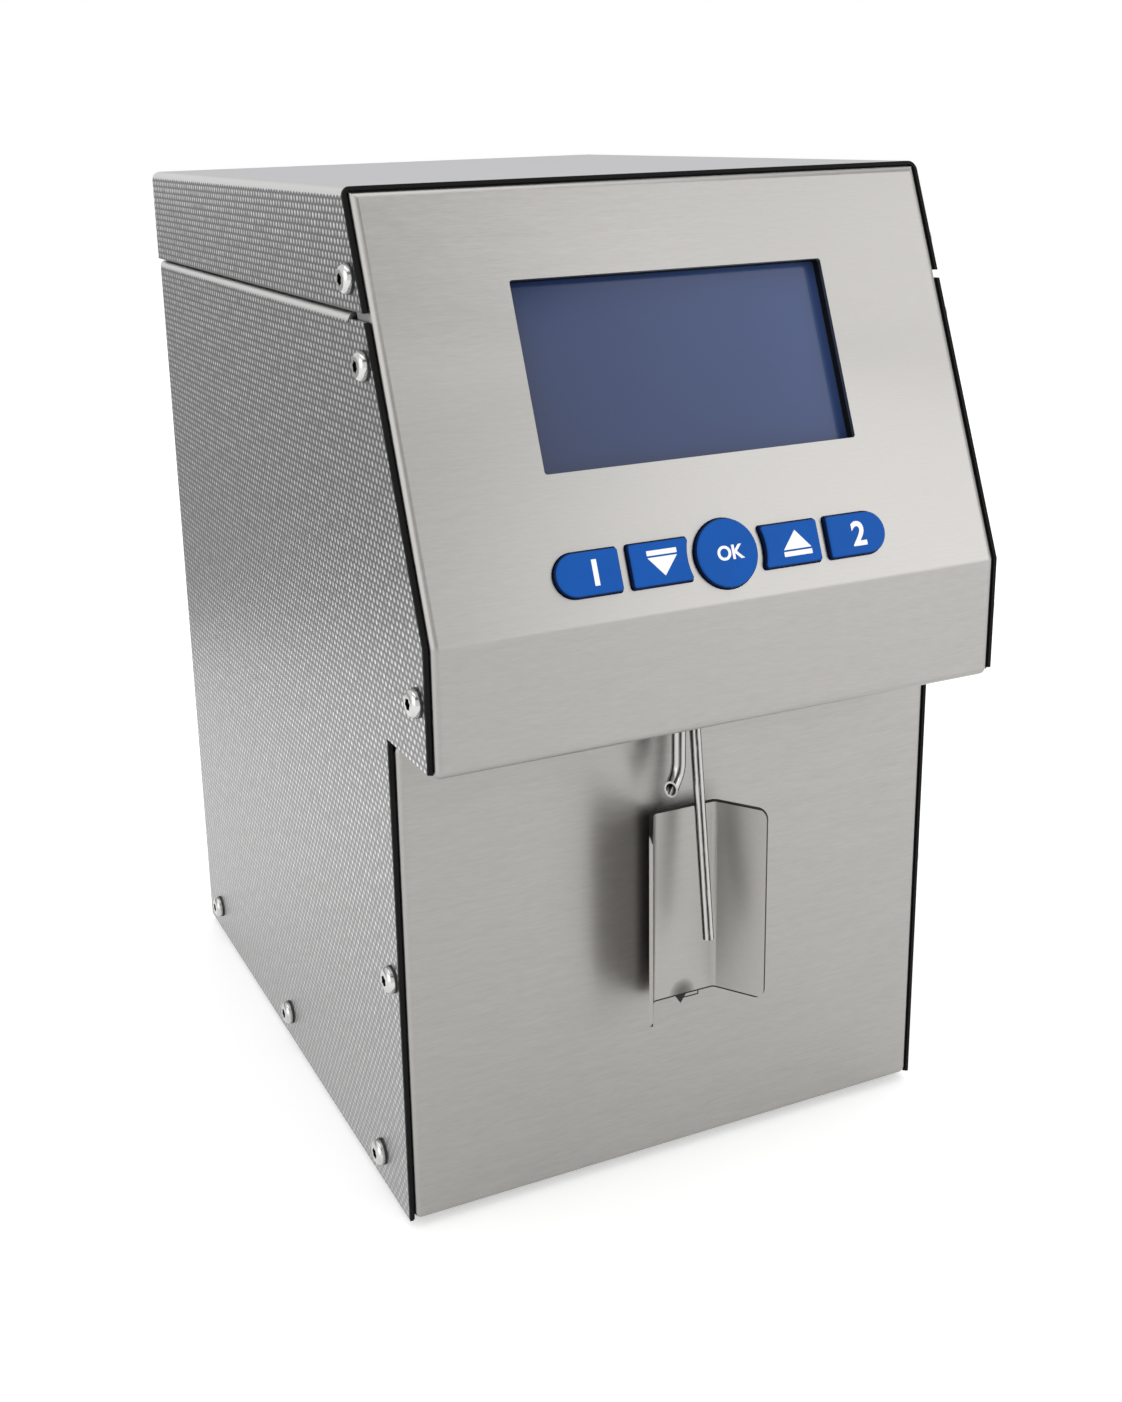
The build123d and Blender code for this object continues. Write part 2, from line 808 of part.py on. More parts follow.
def clinch_nuts():
    """Nuts pressed into the sheets behind the cover screws."""
    solids = []
    for y, z, nut_x in cover_screw_rows():
        end = (nut_x + clinch_nut_height, y, z)
        solids += both_sides(pipe(clinch_nut_radius, cover_screw_radius, (nut_x, y, z), end))
    return solids


def rear_screw_spots():
    """Places (x, z) of the screws that hold the rear panel."""
    side_x = cover_half - rear_screw_inset
    heights = [base_z + share * (seam_z - base_z) for share in rear_screw_height_shares]
    spots = [(side * side_x, z) for side in (-1, 1) for z in heights]
    top_cover_z = (top_cover_low_z + top_z) / 2
    return spots + [(side * rear_top_screw_x, top_cover_z) for side in (-1, 1)]


def rear_panel():
    """Flat sheet behind the flanges, with the cut-outs for the ports and the vent slots."""
    half = cover_half - cover_bend
    panel = block((-half, half), (rear_inner_y, rear_outer_y), (base_z, top_z - cover_bend))
    for x, z in rear_screw_spots():
        panel -= rod(rear_screw_radius, (x, rear_inner_y, z), (x, rear_outer_y, z))
    for side in (-1, 1):
        for index in range(vent_count):
            z = seam_z - vent_low_drop + index * vent_pitch
            slot = SlotOverall(vent_length, vent_height)
            plane = Plane(origin=(side * vent_x, rear_inner_y, z), x_dir=(1, 0, 0), z_dir=(0, 1, 0))
            panel -= extrude(plane * slot, amount=rear_sheet)
    panel -= extrude(serial_section(0, rear_inner_y), amount=rear_sheet)
    for x in serial_post_places():
        panel -= rod(serial_post_bore, (x, rear_inner_y, serial_z()), (x, rear_outer_y, serial_z()))
    panel -= usb_block(0, rear_inner_y, rear_outer_y)
    panel -= rod(inlet_barrel_radius, inlet_point(rear_inner_y), inlet_point(rear_outer_y))
    panel -= switch_block(switch_half_width, switch_half_length, rear_inner_y, rear_outer_y)
    return panel


def rear_screws():
    """Small pan head screws through the flanges into the rear panel's nuts."""
    solids = []
    for x, z in rear_screw_spots():
        head = rod(rear_screw_head_radius, (x, rear_y, z), (x, rear_y + rear_screw_head_height, z))
        head = head.fillet(rear_screw_head_height / 2, head.edges().group_by(Axis.Y)[-1])
        tip_y = rear_inner_y - rear_nut_height
        solids.append(head + rod(rear_screw_radius, (x, tip_y, z), (x, rear_y, z)))
    return solids


def rear_nuts():
    """Nuts pressed into the rear panel."""
    solids = []
    for x, z in rear_screw_spots():
        start = (x, rear_inner_y - rear_nut_height, z)
        solids.append(pipe(rear_nut_radius, rear_screw_radius, start, (x, rear_inner_y, z)))
    return solids


def display_half_sizes():
    """Half width and half height of the display glass."""
    return window_width / 2 + glass_margin, window_height / 2 + glass_margin


def display_slab(margin, lift_high, lift_low):
    """Slab behind the window, wider than the glass by a margin."""
    half_x, half_s = display_half_sizes()
    return slope_block(
        (window_centre_x - half_x - margin, window_centre_x + half_x + margin),
        (window_centre_s - half_s - margin, window_centre_s + half_s + margin),
        (lift_low, lift_high),
    )


def display_frame():
    """Black spacer between the head panel and the glass."""
    frame = display_slab(0, -panel_sheet, -display_recess)
    opening = RectangleRounded(
        window_width + window_frame_clearance * 2,
        window_height + window_frame_clearance * 2,
        window_corner,
    )
    spot = slope_spot(window_centre_x, window_centre_s, 0)
    return frame - extrude(spot * opening, amount=-display_recess - overrun)


def display_glass():
    """Front glass of the display."""
    return display_slab(0, -display_recess, -display_recess - glass_thickness)


def display_housing():
    """Can that holds the display cell and its backlight."""
    high = -display_recess - glass_thickness
    return display_slab(0, high, high - housing_depth)


def display_board_lift():
    """Lift of the front face of the display board."""
    return -display_recess - glass_thickness - housing_depth


def display_board_spots():
    """Places (x, s) of the display board's four standoffs."""
    half_x, half_s = display_half_sizes()
    reach_x = half_x + display_board_margin - standoff_inset
    reach_s = half_s + display_board_margin - standoff_inset
    signs = [(across, down) for across in (-1, 1) for down in (-1, 1)]
    return [(window_centre_x + a * reach_x, window_centre_s + d * reach_s) for a, d in signs]


def display_board():
    """Circuit board behind the display."""
    high = display_board_lift()
    board = display_slab(display_board_margin, high, high - board_thickness)
    for x, s in display_board_spots():
        board -= slope_bar(small_screw_radius, x, s, high - board_thickness, high)
    return board


def slope_bar(radius, x, s, lift_low, lift_high):
    """Round bar square to the sloped front, between two lifts."""
    return rod(radius, slope_point(x, s, lift_low), slope_point(x, s, lift_high))


def inner_key_sketch(gap):
    """Inner key right of the round one, hollowed on the side that faces it."""
    half = key_height / 2 + gap
    radius = inner_key_hollow_radius - gap
    hollow_x = inner_key_start - inner_key_hollow_radius
    start = hollow_x + sqrt(radius**2 - half**2)
    end = inner_key_end + gap
    body = Pos((start + end) / 2, 0) * Rectangle(end - start, half * 2)
    body -= Pos(hollow_x, 0) * Circle(radius)
    return fillet(body.vertices(), key_corner)


def outer_key_sketch(gap):
    """Outer key with one full round end, away from the round key."""
    radius = key_height / 2 + gap
    start = outer_key_start - gap
    centre = outer_key_end - key_height / 2
    body = Pos((start + centre) / 2, 0) * Rectangle(centre - start, radius * 2)
    body = fillet(body.vertices().group_by(Axis.X)[0], key_corner)
    return body + Pos(centre, 0) * Circle(radius)


def key_sketches(gap):
    """Outline of every key in the plane of the sloped front, made larger by a gap."""
    inner = inner_key_sketch(gap)
    outer = outer_key_sketch(gap)
    half_turn = Rot(0, 0, 180)
    return {
        "key_one": half_turn * outer,
        "key_down": half_turn * inner,
        "key_enter": Circle(round_key_radius + gap),
        "key_up": inner,
        "key_two": outer,
    }


def key_centres():
    """x of the middle of every key."""
    inner = (inner_key_start + inner_key_end) / 2
    outer = (outer_key_start + outer_key_end) / 2
    return {"key_one": -outer, "key_down": -inner, "key_enter": 0, "key_up": inner, "key_two": outer}


def key(name):
    """Key cap with its retaining rim and the stem that presses on the mat."""
    rim_lift = -panel_sheet - key_float
    cap = extrude(slope_spot(0, key_row_s, key_proud) * key_sketches(0)[name], amount=rim_lift - key_proud)
    outward = slope_plane.z_dir
    top_face = max(cap.faces(), key=lambda face: face.center().dot(outward))
    cap = cap.fillet(key_edge, top_face.edges())
    rim = extrude(
        slope_spot(0, key_row_s, rim_lift) * key_sketches(key_rim + key_gap)[name],
        amount=-key_rim_thickness,
    )
    stem_lift = rim_lift - key_rim_thickness - key_stem_length
    return cap + rim + slope_bar(key_stem_radius, key_centres()[name], key_row_s, stem_lift, rim_lift)


def mat_lift():
    """Lift of the top face of the keypad mat."""
    stem_end = -panel_sheet - key_float - key_rim_thickness - key_stem_length
    return stem_end - key_travel - key_dome_clearance - dome_height


def keypad_mat():
    """Silicone mat with a dome under every key."""
    half_x = outer_key_end + mat_margin
    half_s = key_height / 2 + mat_margin
    top = mat_lift()
    mat = slope_block(
        (-half_x, half_x), (key_row_s - half_s, key_row_s + half_s), (top - mat_thickness, top)
    )
    for x in key_centres().values():
        dome = Cone(dome_foot_radius, dome_top_radius, dome_height)
        mat += slope_spot(x, key_row_s, top + dome_height / 2) * dome
    return mat


def keypad_board_spots():
    """Places (x, s) of the keypad board's four standoffs."""
    x = outer_key_end + keypad_board_margin - standoff_inset / 2
    half_s = keypad_board_half_height - standoff_inset
    return [(side * x, key_row_s + way * half_s) for side in (-1, 1) for way in (-1, 1)]


def keypad_board():
    """Circuit board under the keypad mat."""
    half_x = outer_key_end + keypad_board_margin + standoff_inset / 2
    high = mat_lift() - mat_thickness
    low_s = key_row_s - keypad_board_half_height
    high_s = key_row_s + keypad_board_half_height
    board = slope_block((-half_x, half_x), (low_s, high_s), (high - board_thickness, high))
    for x, s in keypad_board_spots():
        board -= slope_bar(small_screw_radius, x, s, high - board_thickness, high)
    return board


def board_standoffs():
    """Hollow pillars that carry the display board, the keypad board and the main board."""
    solids = []
    for x, s in display_board_spots():
        solids.append(slope_pillar(x, s, display_board_lift()))
    for x, s in keypad_board_spots():
        solids.append(slope_pillar(x, s, mat_lift() - mat_thickness))
    for x, y in board_spots():
        solids.append(pipe(standoff_radius, standoff_bore, (x, y, floor_z), (x, y, board_z)))
    return solids


def slope_pillar(x, s, low_lift):
    """Pillar from the back of the head panel down to a lift."""
    high_lift = -panel_sheet
    pillar = slope_bar(standoff_radius, x, s, low_lift, high_lift)
    return pillar - slope_bar(standoff_bore, x, s, low_lift, high_lift)


def small_screws():
    """Screws that hold the three boards to their pillars."""
    solids = []
    for x, s in display_board_spots():
        solids.append(slope_screw(x, s, display_board_lift() - board_thickness))
    for x, s in keypad_board_spots():
        solids.append(slope_screw(x, s, mat_lift() - mat_thickness - board_thickness))
    for x, y in board_spots():
        seat = (x, y, board_top_z)
        head = rod(small_screw_head_radius, seat, (x, y, board_top_z + small_screw_head_height))
        shank = rod(small_screw_radius, (x, y, board_top_z - small_screw_length), seat)
        solids.append(head + shank)
    return solids


def slope_screw(x, s, seat_lift):
    """Small screw driven outwards from behind a board in the head."""
    head = slope_bar(small_screw_head_radius, x, s, seat_lift - small_screw_head_height, seat_lift)
    return head + slope_bar(small_screw_radius, x, s, seat_lift, seat_lift + small_screw_length)


def intake_point(z):
    """Point on the axis of the leaning intake tube at a height."""
    return (0, intake_root[1] + (z - intake_root[2]) * intake_lean, z)


def intake_tube():
    """Straight steel tube that dips into the sample."""
    return pipe(intake_radius, intake_bore, intake_tip, intake_point(chin_z + intake_top_rise))


def swept(path, radius):
    """Round bar along a path."""
    section = Plane(origin=path @ 0, z_dir=path % 0) * Circle(radius)
    return sweep(section, path=path)


def outlet_tube():
    """Steel tube that lets the sample out again: straight down, then bent out to a slanting mouth."""
    top = Vector(outlet_x, front_y - outlet_offset, chin_z + outlet_top_rise)
    bend = Vector(outlet_x, front_y - outlet_offset, chin_z - outlet_bend_drop)
    turn = radians(outlet_mouth_turn)
    across = Vector(-cos(turn), -sin(turn), 0) * outlet_mouth_reach
    mouth = bend + across - Vector(0, 0, outlet_mouth_drop)
    end = mouth + (mouth - bend).normalized() * overrun
    path = FilletPolyline(top, bend, end, radius=outlet_bend_radius)
    turn = radians(outlet_cut_turn)
    fall = radians(outlet_cut_fall)
    outward = Vector(-cos(turn) * cos(fall), -sin(turn) * cos(fall), -sin(fall))
    cut = Plane(origin=mouth, z_dir=outward) * Circle(overrun * 2)
    return swept(path, outlet_radius) - swept(path, outlet_bore) - extrude(cut, amount=overrun * 2)


def bush_spots():
    """Places (x, y) where the two tubes pass the underside of the head."""
    return [(0, intake_point(chin_z + panel_sheet / 2)[1]), (outlet_x, front_y - outlet_offset)]


def tube_bushes():
    """Rubber bushes round the two tubes in the underside of the head."""
    low_z = chin_z - bush_rim_thickness
    high_z = chin_z + panel_sheet + bush_rim_thickness
    bores = [
        rod(intake_radius, intake_tip, intake_point(chin_z + intake_top_rise)),
        rod(outlet_radius, (*bush_spots()[1], low_z), (*bush_spots()[1], high_z)),
    ]
    middle_x = outlet_x / 2
    solids = []
    for (x, y), bore in zip(bush_spots(), bores):
        bush = rod(bush_radius, (x, y, low_z), (x, y, high_z))
        for start, end in ((low_z, chin_z), (chin_z + panel_sheet, high_z)):
            bush += rod(bush_rim_radius, (x, y, start), (x, y, end))
        limits = sorted((middle_x, x + (x - middle_x) * overrun))
        keep = block(limits, (y - overrun, y + overrun), (low_z, high_z))
        solids.append((bush & keep) - bore)
    return solids


def sample_holder():
    """Bent sheet whose wings guide the sample cup, with a lip at its lower edge."""
    front_face_y = front_y - holder_standoff - holder_sheet
    half = holder_back_width / 2
    folds = [holder_x - half, holder_x + half]
    turns = [radians(-holder_left_splay), radians(holder_right_splay)]
    tips = [
        (x + holder_wing_length * sin(turn), front_face_y - holder_wing_length * cos(turn))
        for x, turn in zip(folds, turns)
    ]
    line = [tips[0], (folds[0], front_face_y), (folds[1], front_face_y), tips[1]]
    low_z = chin_z - holder_low_drop
    high_z = chin_z - holder_high_drop
    section = Pos(0, 0, low_z) * make_face(Polyline(*thickened(line, holder_sheet), close=True))
    holder = extrude(section, amount=high_z - low_z)
    middle_z = (low_z + high_z) / 2
    back_folds = [(x, front_face_y + holder_sheet, middle_z) for x in folds]
    holder = rounded(holder, back_folds, holder_bend + holder_sheet)
    front_folds = [(x, front_face_y, middle_z) for x in folds]
    holder = rounded(holder, front_folds, holder_bend)
    corners = [(x, y, z) for x, y in tips for z in (low_z, high_z)]
    holder = rounded(holder, corners, holder_corner)
    back_face_y = front_face_y + holder_sheet
    tab_x = (holder_x + holder_tab_start, holder_x + holder_tab_start + holder_tab_width)
    holder += block(tab_x, (back_face_y, front_y), (low_z, low_z + holder_sheet))
    holder += block(tab_x, (front_y - holder_sheet, front_y), (low_z - holder_tab_drop, low_z))
    tooth = [
        (holder_tooth_x - holder_tooth_width / 2, low_z),
        (holder_tooth_x, low_z - holder_tooth_drop),
        (holder_tooth_x + holder_tooth_width / 2, low_z),
    ]
    plane = Plane(origin=(holder_x, back_face_y, 0), x_dir=(1, 0, 0), z_dir=(0, -1, 0))
    holder += extrude(plane * make_face(Polyline(*tooth, close=True)), amount=holder_sheet)
    for drop in holder_stud_drops:
        z = chin_z - drop
        tip = front_y + panel_sheet + holder_nut_height + holder_stud_tip
        start = (holder_x, front_face_y + holder_sheet, z)
        holder += rod(holder_stud_radius, start, (holder_x, tip, z))
    return holder


def thickened(points, thickness):
    """Outline of a bent sheet: an open line and the same line moved to its left, mitred."""
    vectors = [Vector(*point) for point in points]
    runs = [(end - start).normalized() for start, end in zip(vectors, vectors[1:])]
    normals = [Vector(-run.Y, run.X) for run in runs]
    moved = []
    for index, here in enumerate(vectors):
        before = normals[max(index - 1, 0)]
        after = normals[min(index, len(normals) - 1)]
        mitre = (before + after) / (1 + before.dot(after))
        moved.append(here + mitre * thickness)
    return [(v.X, v.Y) for v in vectors + moved[::-1]]


def holder_spacers():
    """Round spacers between the holder and the front panel."""
    solids = []
    for drop in holder_stud_drops:
        z = chin_z - drop
        start = (holder_x, front_y - holder_standoff, z)
        solids.append(pipe(holder_spacer_radius, holder_stud_radius, start, (holder_x, front_y, z)))
    return solids


def holder_nuts():
    """Hexagon nuts on the holder's studs, inside the cabinet."""
    solids = []
    for drop in holder_stud_drops:
        z = chin_z - drop
        start = (holder_x, front_y + panel_sheet, z)
        end = (holder_x, front_y + panel_sheet + holder_nut_height, z)
        nut = hexagon_bar(holder_nut_radius, start, end)
        solids.append(nut - rod(holder_stud_radius, start, end))
    return solids


def bulkhead():
    """Upright inner plate with a foot, which carries the pump and the sensor cell."""
    back_y = bulkhead_y + bulkhead_sheet
    half = bulkhead_half_width
    plate = block((-half, half), (bulkhead_y, back_y), (floor_z, top_z - bulkhead_top_drop))
    foot = block((-half, half), (back_y, back_y + bulkhead_foot), (floor_z, floor_z + bulkhead_sheet))
    body = plate + foot - pump_bar(shaft_hole_radius, bulkhead_y, back_y)
    for x, y in bulkhead_spots():
        body -= rod(bulkhead_screw_radius, (x, y, floor_z), (x, y, floor_z + bulkhead_sheet))
    return body


def bulkhead_spots():
    """Places (x, y) of the screws through the foot of the bulkhead."""
    x = bulkhead_half_width - bulkhead_screw_inset
    y = bulkhead_y + bulkhead_sheet + bulkhead_foot / 2
    return [(-x, y), (0, y), (x, y)]


def bulkhead_screws():
    """Screws that hold the bulkhead's foot to the tray."""
    seat_z = floor_z + bulkhead_sheet
    head_z = seat_z + bulkhead_screw_head_height
    low_z = base_z + panel_sheet
    solids = []
    for x, y in bulkhead_spots():
        head = rod(bulkhead_screw_head_radius, (x, y, seat_z), (x, y, head_z))
        head = head.fillet(bulkhead_screw_head_height / 2, head.edges().group_by(Axis.Z)[-1])
        solids.append(head + rod(bulkhead_screw_radius, (x, y, low_z), (x, y, seat_z)))
    return solids


def pump_bar(radius, y_low, y_high):
    """Round bar on the axis of the pump."""
    return rod(radius, (pump_x, y_low, pump_z), (pump_x, y_high, pump_z))


def sensor_block():
    """Metal cell that the milk passes through, with an inlet in front and an outlet below."""
    cell = block(
        (-sensor_margin, sensor_out_x + sensor_margin),
        (sensor_front_y, sensor_back_y),
        (sensor_z, sensor_z + sensor_height),
    )
    inlet_start = (0, sensor_front_y - fitting_length, sensor_in_z)
    inlet_end = (0, hose_y, sensor_in_z)
    outlet_start = (sensor_out_x, hose_y, sensor_z - fitting_length)
    outlet_end = (sensor_out_x, hose_y, sensor_in_z)
    cell += rod(fitting_radius, inlet_start, (0, sensor_front_y, sensor_in_z))
    cell += rod(fitting_radius, outlet_start, (sensor_out_x, hose_y, sensor_z))
    cell -= rod(fitting_bore, inlet_start, inlet_end)
    cell -= rod(fitting_bore, outlet_start, outlet_end)
    return cell - rod(fitting_bore, (0, hose_y, sensor_in_z), outlet_end)


def sensor_transducers():
    """Round ultrasonic transducers on both ends of the cell."""
    middle_y = (sensor_front_y + sensor_back_y) / 2
    low_x = -sensor_margin
    high_x = sensor_out_x + sensor_margin
    solids = []
    for start, end in ((low_x - transducer_length, low_x), (high_x, high_x + transducer_length)):
        solids.append(rod(transducer_radius, (start, middle_y, sensor_in_z), (end, middle_y, sensor_in_z)))
    return solids


def sensor_heater():
    """Flat heater pad between the cell and the bulkhead."""
    return block(
        (-sensor_margin, sensor_out_x + sensor_margin),
        (sensor_back_y, bulkhead_y),
        (sensor_z, sensor_z + sensor_height),
    )


def intake_hose():
    """Silicone hose from the intake tube to the sensor cell."""
    start = intake_point(chin_z + intake_top_rise)
    corner = intake_point(sensor_in_z)
    end = (0, sensor_front_y - fitting_length, sensor_in_z)
    path = FilletPolyline(start, corner, end, radius=intake_hose_turn)
    return swept(path, hose_radius) - swept(path, hose_bore)


def pump_hose():
    """Silicone hose from the sensor cell round the pump's rollers to the outlet tube."""
    low = (pump_x, hose_y, pump_z - pump_track_radius)
    right = (sensor_out_x, hose_y, pump_z)
    left = (outlet_x, hose_y, pump_z)
    bridge_z = chin_z + hose_bridge_rise
    outlet_y = front_y - outlet_offset
    riser = (outlet_x, hose_y, bridge_z - hose_turn * 2)
    bridge = [
        riser,
        (outlet_x, hose_y, bridge_z),
        (outlet_x, outlet_y, bridge_z),
        (outlet_x, outlet_y, chin_z + outlet_top_rise),
    ]
    loop = [
        Edge.make_line((sensor_out_x, hose_y, sensor_z - fitting_length), right),
        Edge.make_three_point_arc(right, low, left),
        Edge.make_line(left, riser),
    ]
    path = Wire(loop + list(FilletPolyline(*bridge, radius=hose_turn).edges()))
    return swept(path, hose_radius) - swept(path, hose_bore)


def pump_body():
    """Cup-shaped pump housing, open at the top where the hose passes."""
    top_z_here = pump_z + pump_shoulder
    outer = pump_bar(pump_outer_radius, pump_mouth_y, bulkhead_y)
    outer += block(
        (pump_x - pump_outer_radius, pump_x + pump_outer_radius),
        (pump_mouth_y, bulkhead_y),
        (pump_z, top_z_here),
    )
    inner = pump_bar(pump_cavity_radius, pump_mouth_y, pump_floor_y)
    inner += block(
        (pump_x - pump_cavity_radius, pump_x + pump_cavity_radius),
        (pump_mouth_y, pump_floor_y),
        (pump_z, top_z_here + overrun),
    )
    return outer - inner - pump_bar(shaft_hole_radius, pump_floor_y, bulkhead_y)


def pump_cover():
    """Clear plate over the front of the pump."""
    cover = pump_bar(pump_outer_radius, pump_mouth_y - pump_wall, pump_mouth_y)
    return cover + block(
        (pump_x - pump_outer_radius, pump_x + pump_outer_radius),
        (pump_mouth_y - pump_wall, pump_mouth_y),
        (pump_z, pump_z + pump_shoulder),
    )


def roller_centre(index):
    """Place (x, z) of a roller's axis."""
    angle = radians(90 + 360 * index / roller_count)
    return pump_x + roller_orbit * cos(angle), pump_z + roller_orbit * sin(angle)


def roller_bar(index, radius, y_low, y_high):
    """Round bar on a roller's axis."""
    x, z = roller_centre(index)
    return rod(radius, (x, y_low, z), (x, y_high, z))


def rotor_ends():
    """Depths of the front and the back of the pump rotor."""
    return pump_mouth_y + rotor_end_gap, pump_floor_y - rotor_end_gap


def pump_rotor():
    """Two discs on a hub, which carry the roller pins."""
    low_y, high_y = rotor_ends()
    rotor = pump_bar(rotor_hub_radius, low_y, high_y)
    rotor += pump_bar(rotor_disc_radius, low_y, low_y + rotor_disc_thickness)
    rotor += pump_bar(rotor_disc_radius, high_y - rotor_disc_thickness, high_y)
    for index in range(roller_count):
        rotor -= roller_bar(index, roller_pin_radius, low_y, high_y)
    return rotor - pump_bar(pump_shaft_radius, low_y, high_y)


def roller_pins():
    """Pins that the rollers turn on."""
    return [roller_bar(index, roller_pin_radius, *rotor_ends()) for index in range(roller_count)]


def pump_roller(index):
    """Roller that squeezes the hose."""
    low_y, high_y = rotor_ends()
    start = low_y + rotor_disc_thickness + roller_end_gap
    end = high_y - rotor_disc_thickness - roller_end_gap
    bore = roller_bar(index, roller_pin_radius + running_clearance, start, end)
    return roller_bar(index, roller_radius, start, end) - bore


def pump_shaft():
    """Output shaft of the gearbox, on which the rotor sits."""
    end = bulkhead_y + bulkhead_sheet + shaft_engagement
    return pump_bar(pump_shaft_radius, rotor_ends()[0], end)


def gearbox():
    """Reduction gear housing behind the bulkhead."""
    start = bulkhead_y + bulkhead_sheet
    bore_end = start + shaft_engagement + running_clearance
    housing = pump_bar(gearbox_radius, start, start + gearbox_length)
    return housing - pump_bar(pump_shaft_radius + running_clearance, start, bore_end)


def pump_motor():
    """Motor on the end of the gearbox."""
    start = bulkhead_y + bulkhead_sheet + gearbox_length
    return pump_bar(motor_radius, start, start + motor_length)


def board_spots():
    """Places (x, y) of the main board's four pillars."""
    x = board_half_width - board_screw_inset
    ys = (board_front_y + board_screw_inset, board_rear_y - serial_body_depth - board_screw_inset)
    return [(side * x, y) for side in (-1, 1) for y in ys]


def main_board():
    """Main circuit board on its pillars above the tray."""
    half = board_half_width
    board = block((-half, half), (board_front_y, board_rear_y), (board_z, board_top_z))
    for x, y in board_spots():
        board -= rod(small_screw_radius, (x, y, board_z), (x, y, board_top_z))
    return board


def board_place(x_share, y_share, half):
    """Place on the main board from shares of the reach between its screws and of its depth."""
    y = board_front_y + y_share * (board_rear_y - board_front_y)
    return x_share * (board_free_half - half), y


def board_parts():
    """Chips, capacitors and the ribbon header on the main board."""
    solids = []
    for shares in chip_place_shares:
        reach = chip_size / 2
        x, y = board_place(*shares, reach)
        top = board_top_z + chip_thickness
        solids.append(block((x - reach, x + reach), (y - reach, y + reach), (board_top_z, top)))
    for shares in capacitor_place_shares:
        x, y = board_place(*shares, capacitor_radius)
        top = board_top_z + capacitor_height
        solids.append(rod(capacitor_radius, (x, y, board_top_z), (x, y, top)))
    y = board_front_y + header_edge_gap
    solids.append(
        block(
            (ribbon_x - header_length / 2, ribbon_x + header_length / 2),
            (y, y + header_width),
            (board_top_z, board_top_z + header_height),
        )
    )
    return solids


def display_ribbon():
    """Flat cable from the display board over the bulkhead to the header."""
    lift = display_board_lift() - board_thickness
    start = slope_point(0, window_centre_s, lift)
    lead = slope_point(0, window_centre_s, lift - ribbon_lead)
    bridge_z = top_z - bulkhead_top_drop + ribbon_bridge_rise
    behind_y = bulkhead_y + bulkhead_sheet + ribbon_bulkhead_gap
    header_z = board_top_z + header_height / 2
    line = [
        (start[1], start[2]),
        (lead[1], lead[2]),
        (bulkhead_y - ribbon_bulkhead_gap, bridge_z),
        (behind_y, bridge_z),
        (behind_y, header_z),
        (board_front_y + header_edge_gap, header_z),
    ]
    low_x = ribbon_x - ribbon_width / 2
    return side_prism(thickened(line, ribbon_thickness), low_x, low_x + ribbon_width)


def serial_z():
    """Height of the middle of the serial port."""
    return board_top_z + serial_body_height / 2


def serial_post_places():
    """x of the two threaded posts beside the serial port."""
    return serial_x - serial_post_spacing / 2, serial_x + serial_post_spacing / 2


def serial_section(inset, y):
    """D-shaped outline of the serial port's shell at a depth."""
    half_high = serial_shell_height / 2 - inset
    top_half = serial_shell_width / 2 - inset
    low_half = top_half - serial_shell_taper
    points = [
        (-low_half, -half_high),
        (low_half, -half_high),
        (top_half, half_high),
        (-top_half, half_high),
    ]
    face = make_face(Polyline(*points, close=True))
    face = fillet(face.vertices(), serial_shell_corner - inset)
    plane = Plane(origin=(serial_x, y, serial_z()), x_dir=(-1, 0, 0), z_dir=(0, 1, 0))
    return plane * face


def serial_port():
    """Right-angle nine-pin port on the main board."""
    half = serial_body_width / 2
    body = block(
        (serial_x - half, serial_x + half),
        (rear_inner_y - serial_body_depth, rear_inner_y),
        (board_top_z, board_top_z + serial_body_height),
    )
    end_y = rear_outer_y + port_shell_reach
    body += extrude(serial_section(0, rear_inner_y), amount=end_y - rear_inner_y)
    floor_y = end_y - serial_pocket_depth
    body -= extrude(serial_section(serial_shell_wall, floor_y), amount=serial_pocket_depth)
    upper_z = serial_z() + serial_pin_row_gap / 2
    for row, count in enumerate(serial_pin_rows):
        z = upper_z - row * serial_pin_row_gap
        for index in range(count):
            x = serial_x + (index - (count - 1) / 2) * serial_pin_pitch
            body += rod(serial_pin_radius, (x, floor_y, z), (x, floor_y + serial_pin_length, z))
    for x in serial_post_places():
        tail = (x, rear_inner_y - serial_body_depth, serial_z())
        body -= rod(serial_post_bore, tail, (x, rear_inner_y, serial_z()))
    return body


def serial_posts():
    """Six-sided posts that hold the serial port to the rear panel."""
    solids = []
    for x in serial_post_places():
        face = (x, rear_outer_y, serial_z())
        end = (x, rear_outer_y + serial_post_reach, serial_z())
        tail = (x, rear_inner_y - serial_body_depth, serial_z())
        post = hexagon_bar(serial_post_radius, face, end) - rod(serial_post_bore, face, end)
        solids.append(post + rod(serial_post_bore, tail, face))
    return solids


def usb_block(wall, y_low, y_high):
    """Block of the square port's outline, moved inwards by a wall."""
    half = usb_width / 2 - wall
    z_range = (board_top_z + wall, board_top_z + usb_height - wall)
    return block((usb_x - half, usb_x + half), (y_low, y_high), z_range)


def usb_port():
    """Square data port on the main board, with its tongue."""
    end_y = rear_outer_y + usb_reach
    floor_y = end_y - usb_pocket_depth
    port = usb_block(0, rear_inner_y - usb_depth, end_y) - usb_block(usb_wall, floor_y, end_y)
    middle_z = board_top_z + usb_height / 2
    tongue = block(
        (usb_x - usb_tongue_width / 2, usb_x + usb_tongue_width / 2),
        (floor_y, rear_outer_y),
        (middle_z - usb_tongue_height / 2, middle_z + usb_tongue_height / 2),
    )
    return port + tongue


def inlet_point(y):
    """Point on the power inlet's axis at a depth."""
    return (inlet_x, y, base_z + inlet_height)


def inlet_bar(radius, y_low, y_high):
    """Round bar on the power inlet's axis."""
    return rod(radius, inlet_point(y_low), inlet_point(y_high))


